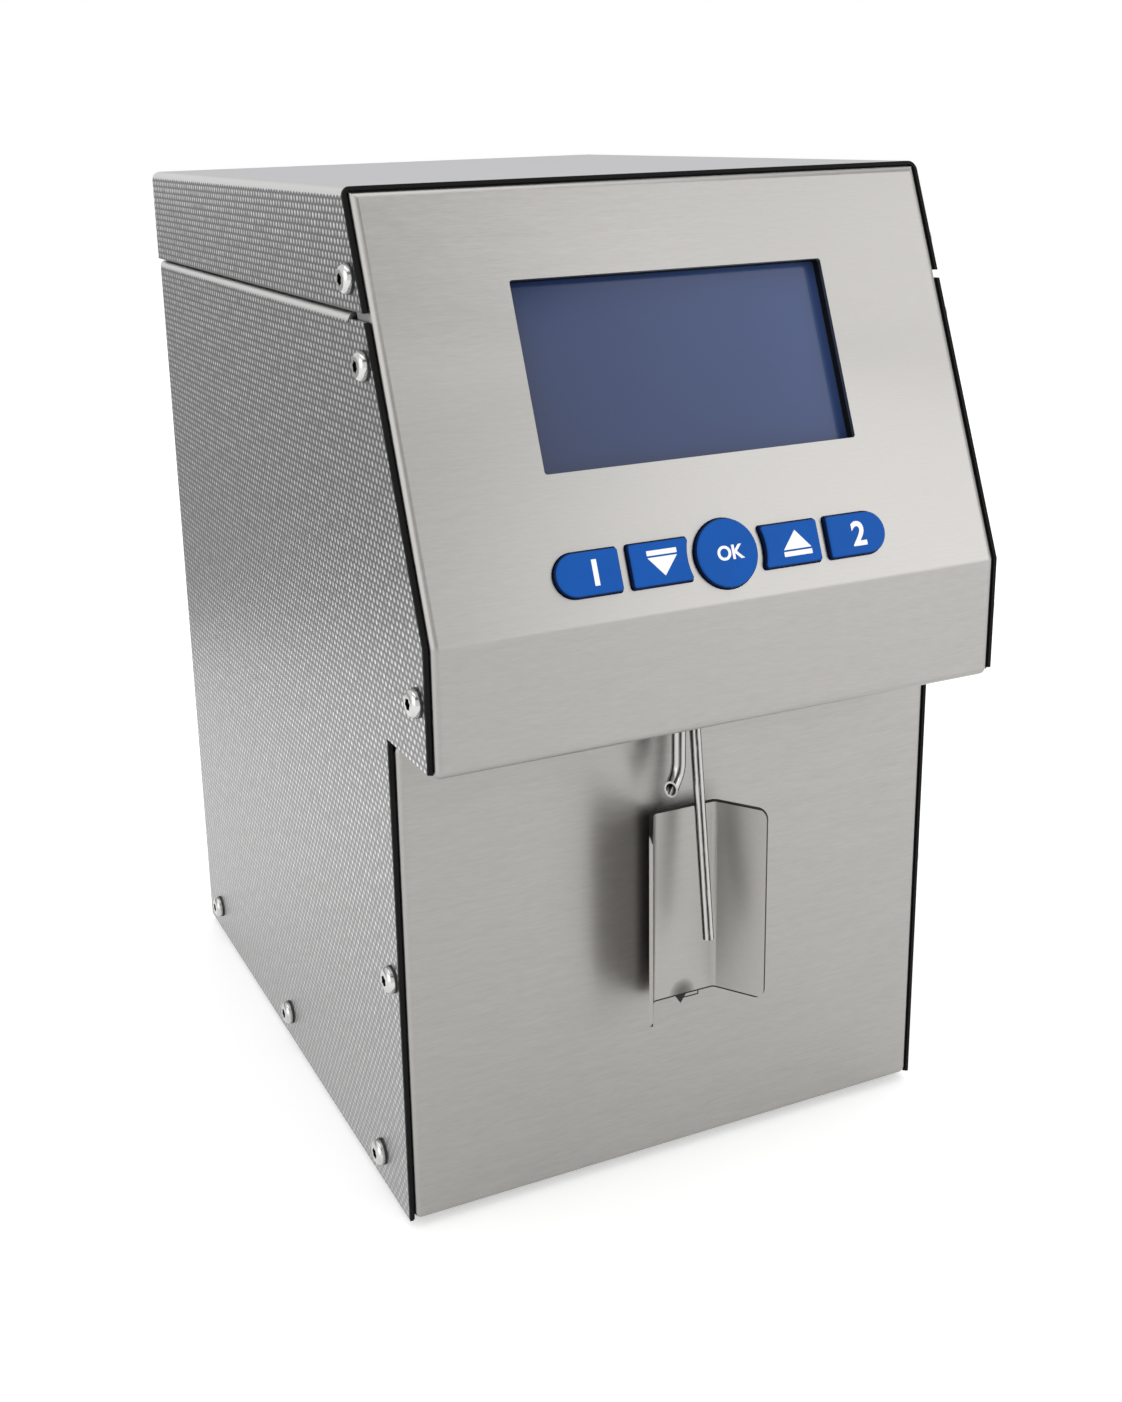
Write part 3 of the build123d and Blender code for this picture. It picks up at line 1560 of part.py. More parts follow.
def power_inlet():
    """Round low voltage inlet with a rim, a bore and a centre pin."""
    end_y = rear_outer_y + inlet_reach
    floor_y = end_y - inlet_bore_depth
    inlet = inlet_bar(inlet_barrel_radius, rear_inner_y - inlet_depth, end_y)
    inlet += inlet_bar(inlet_rim_radius, rear_outer_y, rear_outer_y + inlet_rim_thickness)
    inlet -= inlet_bar(inlet_bore_radius, floor_y, end_y)
    return inlet + inlet_bar(inlet_pin_radius, floor_y, rear_outer_y + inlet_rim_thickness)


def inlet_nut():
    """Six-sided nut that holds the power inlet from inside."""
    start = inlet_point(rear_inner_y - inlet_nut_thickness)
    end = inlet_point(rear_inner_y)
    return hexagon_bar(inlet_nut_radius, start, end) - rod(inlet_barrel_radius, start, end)


def switch_block(half_width, half_length, y_low, y_high):
    """Block round the middle of the power switch."""
    pivot_z = rocker_pivot[2]
    return block(
        (switch_x - half_width, switch_x + half_width),
        (y_low, y_high),
        (pivot_z - half_length, pivot_z + half_length),
    )


def switch_body():
    """Housing of the power switch, with its bezel and the pocket for the rocker."""
    bezel_y = rear_outer_y + switch_bezel_thickness
    body = switch_block(
        switch_half_width, switch_half_length, rear_outer_y - switch_depth, rear_outer_y
    )
    body += switch_block(
        switch_half_width + switch_bezel_margin,
        switch_half_length + switch_bezel_margin,
        rear_outer_y,
        bezel_y,
    )
    pivot_y = rocker_pivot[1]
    body -= switch_block(
        rocker_half_width + rocker_side_gap,
        rocker_half_length + rocker_end_gap,
        pivot_y - rocker_cavity_drop,
        bezel_y,
    )
    return body - rocker_pin(running_clearance)


def rocker_pin(clearance):
    """Pin across the rocker, made larger by a clearance."""
    reach = rocker_half_width + rocker_pin_reach + clearance
    _, y, z = rocker_pivot
    return rod(rocker_pin_radius + clearance, (switch_x - reach, y, z), (switch_x + reach, y, z))


def power_rocker():
    """Rocker of the power switch, resting with its upper end pressed in."""
    _, y, z = rocker_pivot
    outline = [
        (y + rocker_end_rise, z - rocker_half_length),
        (y + rocker_middle_rise, z),
        (y + rocker_end_rise, z + rocker_half_length),
        (y - rocker_keel_drop, z + rocker_keel_half_length),
        (y - rocker_keel_drop, z - rocker_keel_half_length),
    ]
    low_x = switch_x - rocker_half_width
    rocker = side_prism(outline, low_x, low_x + rocker_half_width * 2) + rocker_pin(0)
    return rocker.rotate(Axis(rocker_pivot, (1, 0, 0)), -rocker_tilt)


def switch_terminals():
    """Two flat tabs at the back of the power switch."""
    start_y = rear_outer_y - switch_depth
    solids = []
    for z in (rocker_pivot[2] - terminal_spacing / 2, rocker_pivot[2] + terminal_spacing / 2):
        solids.append(
            block(
                (switch_x - terminal_width / 2, switch_x + terminal_width / 2),
                (start_y - terminal_length, start_y),
                (z - terminal_thickness / 2, z + terminal_thickness / 2),
            )
        )
    return solids


def nodes():
    """Every node's name with its solid or solids."""
    made = {
        "base_tray": base_tray(),
        "rubber_feet": feet(),
        "left_side_cover": left_side_cover(),
        "right_side_cover": mirror(left_side_cover(), about=Plane.YZ),
        "top_cover": top_cover(),
        "rear_panel": rear_panel(),
        "head_front_panel": head_front_panel(),
        "lower_front_panel": lower_front_panel(),
        "left_edge_seal": left_edge_seal(),
        "right_edge_seal": mirror(left_edge_seal(), about=Plane.YZ),
        "top_edge_seal": top_edge_seal(),
        "cover_screws": cover_screws(),
        "cover_washers": cover_washers(),
        "clinch_nuts": clinch_nuts() + rear_nuts(),
        "rear_screws": rear_screws(),
        "display_frame": display_frame(),
        "display_glass": display_glass(),
        "display_housing": display_housing(),
        "display_board": display_board(),
        "keypad_mat": keypad_mat(),
        "keypad_board": keypad_board(),
        "board_standoffs": board_standoffs(),
        "small_screws": small_screws() + bulkhead_screws(),
        "intake_tube": intake_tube(),
        "outlet_tube": outlet_tube(),
        "tube_bushes": tube_bushes(),
        "sample_holder": sample_holder(),
        "holder_spacers": holder_spacers(),
        "hex_nuts": holder_nuts() + [inlet_nut()],
        "inner_bulkhead": bulkhead(),
        "sensor_block": sensor_block(),
        "sensor_transducers": sensor_transducers(),
        "sensor_heater": sensor_heater(),
        "intake_hose": intake_hose(),
        "pump_hose": pump_hose(),
        "pump_body": pump_body(),
        "pump_cover": pump_cover(),
        "pump_rotor": pump_rotor(),
        "roller_pins": roller_pins(),
        "pump_shaft": pump_shaft(),
        "gearbox": gearbox(),
        "pump_motor": pump_motor(),
        "main_board": main_board(),
        "board_parts": board_parts(),
        "display_ribbon": display_ribbon(),
        "serial_port": serial_port(),
        "serial_posts": serial_posts(),
        "usb_port": usb_port(),
        "power_inlet": power_inlet(),
        "switch_body": switch_body(),
        "switch_terminals": switch_terminals(),
        "power_rocker": power_rocker(),
    }
    for index in range(roller_count):
        made[f"pump_roller_{index + 1}"] = pump_roller(index)
    for name in key_centres():
        made[name] = key(name)
    return made


def export_nodes(made):
    """Writes one file for every node, with each separate solid in it."""
    os.makedirs("parts", exist_ok=True)
    for name, shapes in made.items():
        group = shapes if isinstance(shapes, list) else [shapes]
        solids = [solid for shape in group for solid in shape.solids()]
        whole = solids[0] if len(solids) == 1 else Compound(solids)
        whole.label = name
        export_step(whole, f"parts/{name}.step")


if __name__ == "__main__":
    export_nodes(nodes())
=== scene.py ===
import json
import logging
import math
from collections.abc import Callable, Sequence
from dataclasses import dataclass
from enum import Enum

import bmesh
import bpy
from mathutils import Matrix, Vector


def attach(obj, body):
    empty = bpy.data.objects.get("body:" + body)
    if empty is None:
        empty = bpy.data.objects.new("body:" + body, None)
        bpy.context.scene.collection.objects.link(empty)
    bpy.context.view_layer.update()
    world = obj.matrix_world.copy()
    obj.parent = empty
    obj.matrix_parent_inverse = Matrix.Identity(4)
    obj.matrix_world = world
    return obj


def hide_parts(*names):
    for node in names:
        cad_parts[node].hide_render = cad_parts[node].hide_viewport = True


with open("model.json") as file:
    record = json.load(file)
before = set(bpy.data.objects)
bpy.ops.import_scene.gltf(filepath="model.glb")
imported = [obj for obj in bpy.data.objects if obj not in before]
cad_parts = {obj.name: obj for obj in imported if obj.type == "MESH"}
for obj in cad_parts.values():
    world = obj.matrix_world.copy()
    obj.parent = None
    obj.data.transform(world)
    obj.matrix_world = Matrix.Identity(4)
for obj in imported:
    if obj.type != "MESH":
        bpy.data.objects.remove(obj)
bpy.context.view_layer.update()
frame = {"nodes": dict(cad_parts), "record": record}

MM = 0.001
PER_MM = (1 / MM,) * 3
WASHER_FACE_X = 87.1
SLOPE_TOP = Vector((0.0, -81.225, 288.0))
SLOPE_ANGLE = math.radians(21.917)
KEY_ROW = 102.742
UP = Vector((0.0, 0.0, 1.0))
ORIGIN = (0.0, 0.0, 0.0)
WHITE = (1.0, 1.0, 1.0, 1.0)
NOISE_SPREAD = (0.3, 0.7)
FULL = (0.0, 1.0)
FINE_OCTAVES = 2
CLOUD_OCTAVES = 3

log = logging.getLogger("milk_analyzer")

Colour = tuple[float, float, float]
Range = tuple[float, float]
Socket = bpy.types.NodeSocket


class Side(Enum):
    """Side of the cabinet that a piece stands on."""

    LEFT = -1
    RIGHT = 1


def axes_matrix(across: Vector, up: Vector, out: Vector, place: Vector) -> Matrix:
    """Matrix of a place with these axes.

    Args:
        across: Its X.
        up: Its Y.
        out: Its Z.
        place: Where it stands, in metres.

    Returns:
        The matrix.
    """
    matrix = Matrix((across, up, out)).transposed().to_4x4()
    matrix.translation = place
    return matrix


def slope_matrix(x: float, s: float, lift: float) -> Matrix:
    """Place on the sloped front.

    Args:
        x: Millimetres across, from the middle.
        s: Millimetres down the slope from its top edge.
        lift: Millimetres out of the sheet.

    Returns:
        Matrix whose X runs across, Y up the slope and Z out of it.
    """
    across = Vector((1.0, 0.0, 0.0))
    up = Vector((0.0, math.sin(SLOPE_ANGLE), math.cos(SLOPE_ANGLE)))
    out = across.cross(up)
    return axes_matrix(across, up, out, (SLOPE_TOP + across * x - up * s + out * lift) * MM)


def side_matrix(side: Side, x: float, y: float, z: float) -> Matrix:
    """Place x, y and z millimetres from the origin on a side cover, with Z out of the cover."""
    out = Vector((float(side.value), 0.0, 0.0))
    return axes_matrix(UP.cross(out), UP, out, Vector((side.value * x, y, z)) * MM)


def spread(value: float, share: float) -> Range:
    """Range from a share below a value to the same share above it, up to 1."""
    return value * (1 - share), min(1.0, value * (1 + share))


def extent(places: Sequence[Sequence[float]]) -> tuple[Vector, Vector]:
    """Box round some places.

    Args:
        places: X, Y and Z of each place.

    Returns:
        Its lowest and its highest corner.
    """
    low = Vector(tuple(min(place[axis] for place in places) for axis in range(3)))
    high = Vector(tuple(max(place[axis] for place in places) for axis in range(3)))
    return low, high


def clear_selection() -> None:
    """Deselects every object."""
    bpy.ops.object.select_all(action="DESELECT")


def select_only(objects: Sequence[bpy.types.Object]) -> None:
    """Selects these objects and makes the first one active.

    Args:
        objects: Objects to select.
    """
    clear_selection()
    for piece in objects:
        piece.select_set(True)
    bpy.context.view_layer.objects.active = objects[0]


def settle(piece: bpy.types.Object, place: Matrix) -> bpy.types.Object:
    """Moves a piece to its place and leaves its object at the origin.

    Args:
        piece: Piece modelled round the origin, in metres.
        place: Where it goes.

    Returns:
        The same piece.
    """
    piece.matrix_world = place
    select_only([piece])
    bpy.ops.object.transform_apply(location=True, rotation=True, scale=True)
    return piece


def copy_piece(piece: bpy.types.Object, name: str) -> bpy.types.Object:
    """Copies a piece with its own mesh.

    Args:
        piece: Piece to copy.
        name: Name of the copy.

    Returns:
        The copy.
    """
    twin = piece.copy()
    twin.data = piece.data.copy()
    twin.name = name
    bpy.context.collection.objects.link(twin)
    return twin


def join_pieces(pieces: Sequence[bpy.types.Object], name: str) -> bpy.types.Object:
    """Joins pieces into one mesh.

    Args:
        pieces: Pieces to join.
        name: Name of the result.

    Returns:
        The joined piece.
    """
    select_only(pieces)
    bpy.ops.object.join()
    joined = bpy.context.view_layer.objects.active
    joined.name = name
    return joined


class EditSession:
    """Edit mode on one mesh, with parts of it picked in code."""

    def __init__(self, piece: bpy.types.Object) -> None:
        """Keeps the mesh to edit."""
        self.piece = piece

    def __enter__(self) -> "EditSession":
        """Enters edit mode.

        Returns:
            The session itself.
        """
        select_only([self.piece])
        bpy.ops.object.mode_set(mode="EDIT")
        return self

    def __exit__(self, *failure: object) -> None:
        """Leaves edit mode."""
        bpy.ops.object.mode_set(mode="OBJECT")

    @property
    def mesh(self) -> bmesh.types.BMesh:
        """The mesh as it now is."""
        return bmesh.from_edit_mesh(self.piece.data)

    def pick(self, mode: str, elements: str, test: Callable[[object], bool]) -> None:
        """Selects the parts that pass a test.

        Args:
            mode: VERT, EDGE or FACE.
            elements: verts, edges or faces.
            test: Says whether a part is selected.
        """
        bpy.ops.mesh.select_mode(type=mode)
        bpy.ops.mesh.select_all(action="DESELECT")
        mesh = self.mesh
        for part in getattr(mesh, elements):
            if test(part):
                part.select_set(True)
        mesh.select_flush_mode()
        bmesh.update_edit_mesh(self.piece.data)

    def pick_faces(self, test: Callable[[bmesh.types.BMFace], bool]) -> None:
        """Selects the faces that pass a test."""
        self.pick("FACE", "faces", test)

    def pick_rising_edges(self, height: float) -> None:
        """Selects the edges that rise by more than this height, in metres."""
        self.pick(
            "EDGE", "edges", lambda edge: abs((edge.verts[0].co - edge.verts[1].co).z) > height
        )

    def pick_vertices(self, test: Callable[[Vector], bool]) -> None:
        """Selects the vertices whose places pass a test."""
        self.pick("VERT", "verts", lambda vertex: test(vertex.co))


class NodeGraph:
    """Node tree of one procedural material."""

    MIX_COLOURS = (6, 7)
    MIX_RESULT = 2

    def __init__(self, name: str) -> None:
        """Starts a material with a Principled shader.

        Args:
            name: Name of the material.
        """
        self.material = bpy.data.materials.new(name)
        self.material.use_nodes = True
        self.tree = self.material.node_tree
        self.tree.nodes.clear()
        output = self.add("ShaderNodeOutputMaterial")
        self.shader = self.add("ShaderNodeBsdfPrincipled")
        self.link(self.shader.outputs["BSDF"], output.inputs["Surface"])

    def add(self, kind: str, **settings: object) -> bpy.types.ShaderNode:
        """Adds a node.

        Args:
            kind: Blender's name of the node type.
            **settings: Properties to set on it.

        Returns:
            The node.
        """
        node = self.tree.nodes.new(kind)
        for key, value in settings.items():
            setattr(node, key, value)
        return node

    def link(self, source: Socket, target: Socket) -> None:
        """Links an output to an input."""
        self.tree.links.new(source, target)

    def feed(self, target: Socket, value: object) -> None:
        """Links a socket, or sets a number or colour.

        Args:
            target: Input to feed.
            value: Socket, number or sequence.
        """
        if isinstance(value, Socket):
            self.link(value, target)
        else:
            target.default_value = value

    def sum(self, operation: str, *values: object) -> Socket:
        """Does one sum.

        Args:
            operation: Blender's name of the sum.
            *values: Sockets or numbers.

        Returns:
            Output socket.
        """
        node = self.add("ShaderNodeMath", operation=operation)
        for socket, value in zip(node.inputs, values):
            self.feed(socket, value)
        return node.outputs[0]

    def chain(self, operation: str, values: Sequence[object]) -> Socket:
        """Does one sum over several values in turn.

        Args:
            operation: Blender's name of the sum.
            values: Sockets or numbers, two or more.

        Returns:
            Output socket.
        """
        result = values[0]
        for value in values[1:]:
            result = self.sum(operation, result, value)
        return result

    def total(self, *values: object) -> Socket:
        """Adds the values."""
        return self.chain("ADD", values)

    def product(self, *values: object) -> Socket:
        """Multiplies the values."""
        return self.chain("MULTIPLY", values)

    def largest(self, *values: object) -> Socket:
        """Takes the largest of the values."""
        return self.chain("MAXIMUM", values)

    def above(self, value: Socket, limit: float) -> Socket:
        """Gives 1 where the value is above the limit, else 0."""
        return self.sum("GREATER_THAN", value, limit)

    def below(self, value: Socket, limit: float) -> Socket:
        """Gives 1 where the value is below the limit, else 0."""
        return self.sum("LESS_THAN", value, limit)

    def oval(self, first: Socket, second: Socket) -> Socket:
        """Adds the squares of two values."""
        return self.total(self.product(first, first), self.product(second, second))

    def place(self, scale: Sequence[float]) -> Socket:
        """Object coordinates in metres, scaled.

        Args:
            scale: Repeats per metre on each axis.

        Returns:
            Vector socket.
        """
        coordinates = self.add("ShaderNodeTexCoord")
        mapping = self.add("ShaderNodeMapping")
        mapping.inputs["Scale"].default_value = tuple(scale)
        self.link(coordinates.outputs["Object"], mapping.inputs["Vector"])
        return mapping.outputs["Vector"]

    def axes(self, vector: Socket) -> tuple[Socket, Socket, Socket]:
        """Splits a vector.

        Args:
            vector: Vector socket.

        Returns:
            Sockets of its X, Y and Z.
        """
        node = self.add("ShaderNodeSeparateXYZ")
        self.link(vector, node.inputs[0])
        return node.outputs["X"], node.outputs["Y"], node.outputs["Z"]

    def point(self) -> tuple[Socket, Socket, Socket]:
        """X, Y and Z of the place, in millimetres."""
        return self.axes(self.place(PER_MM))

    def facing(self) -> tuple[Socket, Socket, Socket]:
        """X, Y and Z of the direction that the face looks in."""
        return self.axes(self.add("ShaderNodeNewGeometry").outputs["True Normal"])

    def noise(self, scale: Sequence[float], octaves: int, repeats: float = 1.0) -> Socket:
        """Noise between 0 and 1.

        Args:
            scale: Repeats per metre on each axis.
            octaves: How many finer layers it has.
            repeats: What all three are multiplied by.

        Returns:
            Value socket.
        """
        node = self.add("ShaderNodeTexNoise")
        self.link(self.place(scale), node.inputs["Vector"])
        node.inputs["Scale"].default_value = repeats
        node.inputs["Detail"].default_value = octaves
        return node.outputs[0]

    def grain(self, repeats: float, octaves: int) -> Socket:
        """Noise with this many repeats per millimetre."""
        return self.noise(PER_MM, octaves, repeats)

    def cloud(self, repeats: float, octaves: int) -> Socket:
        """Noise with this many repeats per metre."""
        return self.noise((repeats,) * 3, octaves)

    def span(self, value: Socket, old: Range, new: Range) -> Socket:
        """Maps a value from one range to another, clamped.

        Args:
            value: Value to map.
            old: Range it is read in.
            new: Range it is written in.

        Returns:
            Value socket.
        """
        node = self.add("ShaderNodeMapRange")
        self.link(value, node.inputs["Value"])
        node.inputs["From Min"].default_value, node.inputs["From Max"].default_value = old
        node.inputs["To Min"].default_value, node.inputs["To Max"].default_value = new
        return node.outputs[0]

    def blend(self, share: object, first: object, second: object) -> Socket:
        """Mixes two colours.

        Args:
            share: Share of the second one.
            first: Socket or colour.
            second: Socket or colour.

        Returns:
            Colour socket.
        """
        node = self.add("ShaderNodeMix", data_type="RGBA")
        self.feed(node.inputs["Factor"], share)
        for index, value in zip(self.MIX_COLOURS, (first, second)):
            self.feed(node.inputs[index], value if isinstance(value, Socket) else (*value, 1.0))
        return node.outputs[self.MIX_RESULT]

    def mottled(self, share: Socket, colour: Colour, amount: float) -> Socket:
        """Colour that gets lighter with a share, by this amount of it down and up."""
        dark, light = zip(*(spread(channel, amount) for channel in colour))
        return self.blend(share, dark, light)

    def bump(self, height: Socket, depth: float) -> Socket:
        """Bump from a height between 0 and 1.

        Args:
            height: Height socket.
            depth: Millimetres between 0 and 1.

        Returns:
            Normal socket.
        """
        node = self.add("ShaderNodeBump")
        node.inputs["Distance"].default_value = depth * MM
        self.link(height, node.inputs["Height"])
        return node.outputs["Normal"]

    def set(self, **values: object) -> None:
        """Sets or links sockets of the shader.

        Args:
            **values: Sockets, numbers or colours, with _ for a space in the names.
        """
        for key, value in values.items():
            socket = self.shader.inputs[key.replace("_", " ")]
            if key == "Base_Color" and not isinstance(value, Socket):
                value = (*value, 1.0)
            self.feed(socket, value)


@dataclass(frozen=True)
class MouldedFinish:
    """Moulded plastic, silicone or rubber with a fine grain."""

    name: str
    colour: Colour
    roughness: float
    grain: float = 0.4
    grain_depth: float = 0.01
    mottle: float = 0.06
    gloss: float = 0.5
    cloud_repeats: float = 0.08
    unevenness: float = 0.1

    def material(self) -> bpy.types.Material:
        """Builds the material.

        Returns:
            The material.
        """
        graph = NodeGraph(self.name)
        cloud = graph.grain(self.cloud_repeats, CLOUD_OCTAVES)
        graph.set(
            Base_Color=self.base(graph, cloud),
            Roughness=graph.span(cloud, NOISE_SPREAD, spread(self.roughness, self.unevenness)),
            Specular_IOR_Level=self.gloss,
            Normal=graph.bump(graph.grain(1 / self.grain, FINE_OCTAVES), self.grain_depth),
        )
        return graph.material

    def base(self, graph: NodeGraph, cloud: Socket) -> Socket:
        """Base colour, a little lighter and darker with the cloud."""
        return graph.mottled(cloud, self.colour, self.mottle)


@dataclass(frozen=True)
class KeySilicone(MouldedFinish):
    """Moulded key: coloured face, and flanks darkened with painted shade."""

    shaded_flank: Colour = (0.001, 0.008, 0.04)
    shaded_flank_range: Range = (0.6, 0.85)

    def base(self, graph: NodeGraph, cloud: Socket) -> Socket:
        """Base colour of the face, and painted shade on the flanks where they turn off the slope.

        Args:
            graph: Graph to build it in.
            cloud: Value socket of the cloud.

        Returns:
            Colour socket.
        """
        _, depth, height = graph.facing()
        forward = graph.product(depth, -math.cos(SLOPE_ANGLE))
        facing = graph.total(forward, graph.product(height, math.sin(SLOPE_ANGLE)))
        face = graph.mottled(cloud, self.colour, self.mottle)
        # faces turned off the slope get painted shade
        return graph.blend(graph.span(facing, self.shaded_flank_range, FULL), self.shaded_flank, face)


@dataclass(frozen=True)
class PlainMetal:
    """Machined, turned or plated metal with a faint cloudy tone."""

    name: str
    colour: Colour
    roughness: float
    mottle: float = 0.08
    unevenness: float = 0.2
    cloud_repeats: float = 0.3
    cloud_octaves: int = 4
    grain_repeats: float = 1.5
    grain_depth: float = 0.002

    def material(self) -> bpy.types.Material:
        """Builds the material.

        Returns:
            The material.
        """
        graph = NodeGraph(self.name)
        cloud = graph.grain(self.cloud_repeats, self.cloud_octaves)
        graph.set(
            Base_Color=graph.mottled(cloud, self.colour, self.mottle),
            Metallic=1.0,
            Roughness=graph.span(cloud, NOISE_SPREAD, spread(self.roughness, self.unevenness)),
            Normal=graph.bump(graph.grain(self.grain_repeats, FINE_OCTAVES), self.grain_depth),
        )
        return graph.material


@dataclass(frozen=True)
class DrawnTube:
    """Drawn tube with six dark lengthwise streaks round it, which are painted reflections, and a
    dark cut end.
    """

    name: str
    colour: Colour
    reflection_streak: Colour
    roughness: float
    reflection_streak_count: float = 6.0
    phase_degrees: float = 18.0
    reflection_streak_range: Range = (-0.4, 0.9)
    scratch_repeats: tuple[float, float, float] = (2500, 2500, 60)
    scratch_sway: Range = (-0.3, 0.3)
    scratch_depth: float = 0.004
    end_facing: float = -0.6

    def material(self) -> bpy.types.Material:
        """Builds the material.

        Returns:
            The material.
        """
        graph = NodeGraph(self.name)
        # painted reflections: dark lengthwise streaks set by the direction each face looks round
        # the tube
        across, depth, height = graph.facing()
        turn = graph.sum("ARCTAN2", across, graph.product(depth, -1.0))
        turn = graph.total(turn, math.radians(self.phase_degrees))
        wave = graph.sum("COSINE", graph.product(turn, self.reflection_streak_count))
        scratches = graph.noise(self.scratch_repeats, CLOUD_OCTAVES)
        tone = graph.total(wave, graph.span(scratches, NOISE_SPREAD, self.scratch_sway))
        cut_end = graph.below(height, self.end_facing)
        share = graph.largest(graph.span(tone, self.reflection_streak_range, FULL), cut_end)
        graph.set(
            Base_Color=graph.blend(share, self.colour, self.reflection_streak),
            Metallic=1.0,
            Roughness=self.roughness,
            Normal=graph.bump(scratches, self.scratch_depth),
        )
        return graph.material


@dataclass(frozen=True)
class BrushedSteel:
    """Stainless sheet with short fine strokes across it."""

    name: str
    colour: Colour
    roughness: float
    unevenness: float = 0.1
    stroke_length: float = 4.0
    stroke_width: float = 0.35
    stroke_share: float = 0.65
    stroke_tone: float = 0.07
    stroke_depth: float = 0.004
    band_length: float = 16.0
    band_width: float = 1.75
    cloud_repeats: float = 12.0
    cloud_range: Range = (0.35, 0.75)
    cloud_share: float = 0.1
    stretch: float = 0.7
    stretch_turn: float = 0.25
    gloss: float = 0.2

    def material(self) -> bpy.types.Material:
        """Builds the material.

        Returns:
            The material.
        """
        graph = NodeGraph(self.name)
        strokes = self.dashes(graph, self.stroke_length, self.stroke_width)
        bands = self.dashes(graph, self.band_length, self.band_width)
        tone = graph.total(
            graph.product(strokes, self.stroke_share),
            graph.product(bands, 1 - self.stroke_share),
        )
        base = graph.mottled(graph.span(tone, NOISE_SPREAD, FULL), self.colour, self.stroke_tone)
        cloud = graph.cloud(self.cloud_repeats, FINE_OCTAVES)
        dark = tuple(spread(channel, self.stroke_tone)[0] for channel in self.colour)
        base = graph.blend(graph.span(cloud, self.cloud_range, (0.0, self.cloud_share)), base, dark)
        base, metal = self.scaled(graph, base)
        graph.set(
            Base_Color=base,
            Metallic=metal,
            Specular_IOR_Level=self.gloss,
            Roughness=graph.span(tone, NOISE_SPREAD, spread(self.roughness, self.unevenness)),
            Anisotropic=self.stretch,
            Anisotropic_Rotation=self.stretch_turn,
            Tangent=graph.add("ShaderNodeTangent", direction_type="RADIAL", axis="Z").outputs[0],
            Normal=graph.bump(tone, self.stroke_depth),
        )
        return graph.material

    def dashes(self, graph: NodeGraph, length: float, width: float) -> Socket:
        """Noise in dashes across the sheet, of this length and width in millimetres."""
        down = 1 / (width * MM)
        return graph.noise((1 / (length * MM), down, down), FINE_OCTAVES)

    def scaled(self, graph: NodeGraph, base: Socket) -> tuple[Socket, object]:
        """Base colour, and how metallic it is, with any dark scale and painted shade on the sheet.
        """
        return base, 1.0


@dataclass(frozen=True)
class HolderSteel(BrushedSteel):
    """Brushed sheet of the sample holder, with cut edges dark as oxide scale and painted
    reflection, painted shade along its front edges and above its tooth, and a dark rim on its tab.
    """

    scale_and_shade_colour: Colour = (0.012, 0.011, 0.01)
    level_facing: float = 0.3
    end_facing: float = 0.45
    end_x: float = 12.0
    wing_x: float = -18.6
    right_x: float = 19.0
    front_y: float = -99.6
    low_z: float = 55.85
    high_z: float = 114.2
    shade_patch_x: float = -0.9
    shade_patch_z: float = 56.0
    shade_patch_half_width: float = 4.4
    shade_patch_height: float = 4.8
    shade_patch_share: float = 0.7
    tab_x: float = 6.0
    tab_y: float = -98.5
    tab_low_z: float = 52.6
    tab_high_z: float = 55.3

    def scaled(self, graph: NodeGraph, base: Socket) -> tuple[Socket, object]:
        """Base colour, and how metallic it is, with the dark scale and painted shade on the sheet.
        """
        share = self.scale_and_shade_share(graph)
        return graph.blend(share, base, self.scale_and_shade_colour), graph.sum("SUBTRACT", 1.0, share)

    def scale_and_shade_share(self, graph: NodeGraph) -> Socket:
        """Share of dark colour: cut edges as oxide scale and painted reflection, painted shade
        along the front edges and above the tooth, and the rim of the tab.

        Args:
            graph: Graph to build it in.

        Returns:
            Value socket, 1 where the scale hides the steel.
        """
        x, y, z = graph.point()
        normal_x, _, normal_z = graph.facing()
        off_wing = graph.above(x, self.wing_x)
        # cut edges facing up or down, and the wing end: dark as oxide scale and painted reflection
        up_or_down = graph.sum("ABSOLUTE", normal_z)
        level = graph.product(graph.above(up_or_down, self.level_facing), off_wing)
        end = graph.product(graph.above(normal_x, self.end_facing), graph.above(x, self.end_x))
        near_edge = graph.largest(
            graph.below(z, self.low_z),
            graph.above(z, self.high_z),
            graph.above(x, self.right_x),
        )
        # painted shade line along the lower, upper and right front edges
        edge_shade = graph.product(near_edge, graph.below(y, self.front_y), off_wing)
        # painted shade patch above the tooth
        across = graph.sum("DIVIDE", graph.sum("SUBTRACT", x, self.shade_patch_x), self.shade_patch_half_width)
        rise = graph.sum("DIVIDE", graph.sum("SUBTRACT", z, self.shade_patch_z), self.shade_patch_height)
        shade_patch = graph.span(graph.oval(across, rise), FULL, (self.shade_patch_share, 0.0))
        rim = graph.product(
            graph.largest(graph.below(z, self.tab_low_z), graph.above(x, self.tab_x)),
            graph.below(z, self.tab_high_z),
            graph.above(y, self.tab_y),
        )
        return graph.largest(level, end, edge_shade, shade_patch, rim)


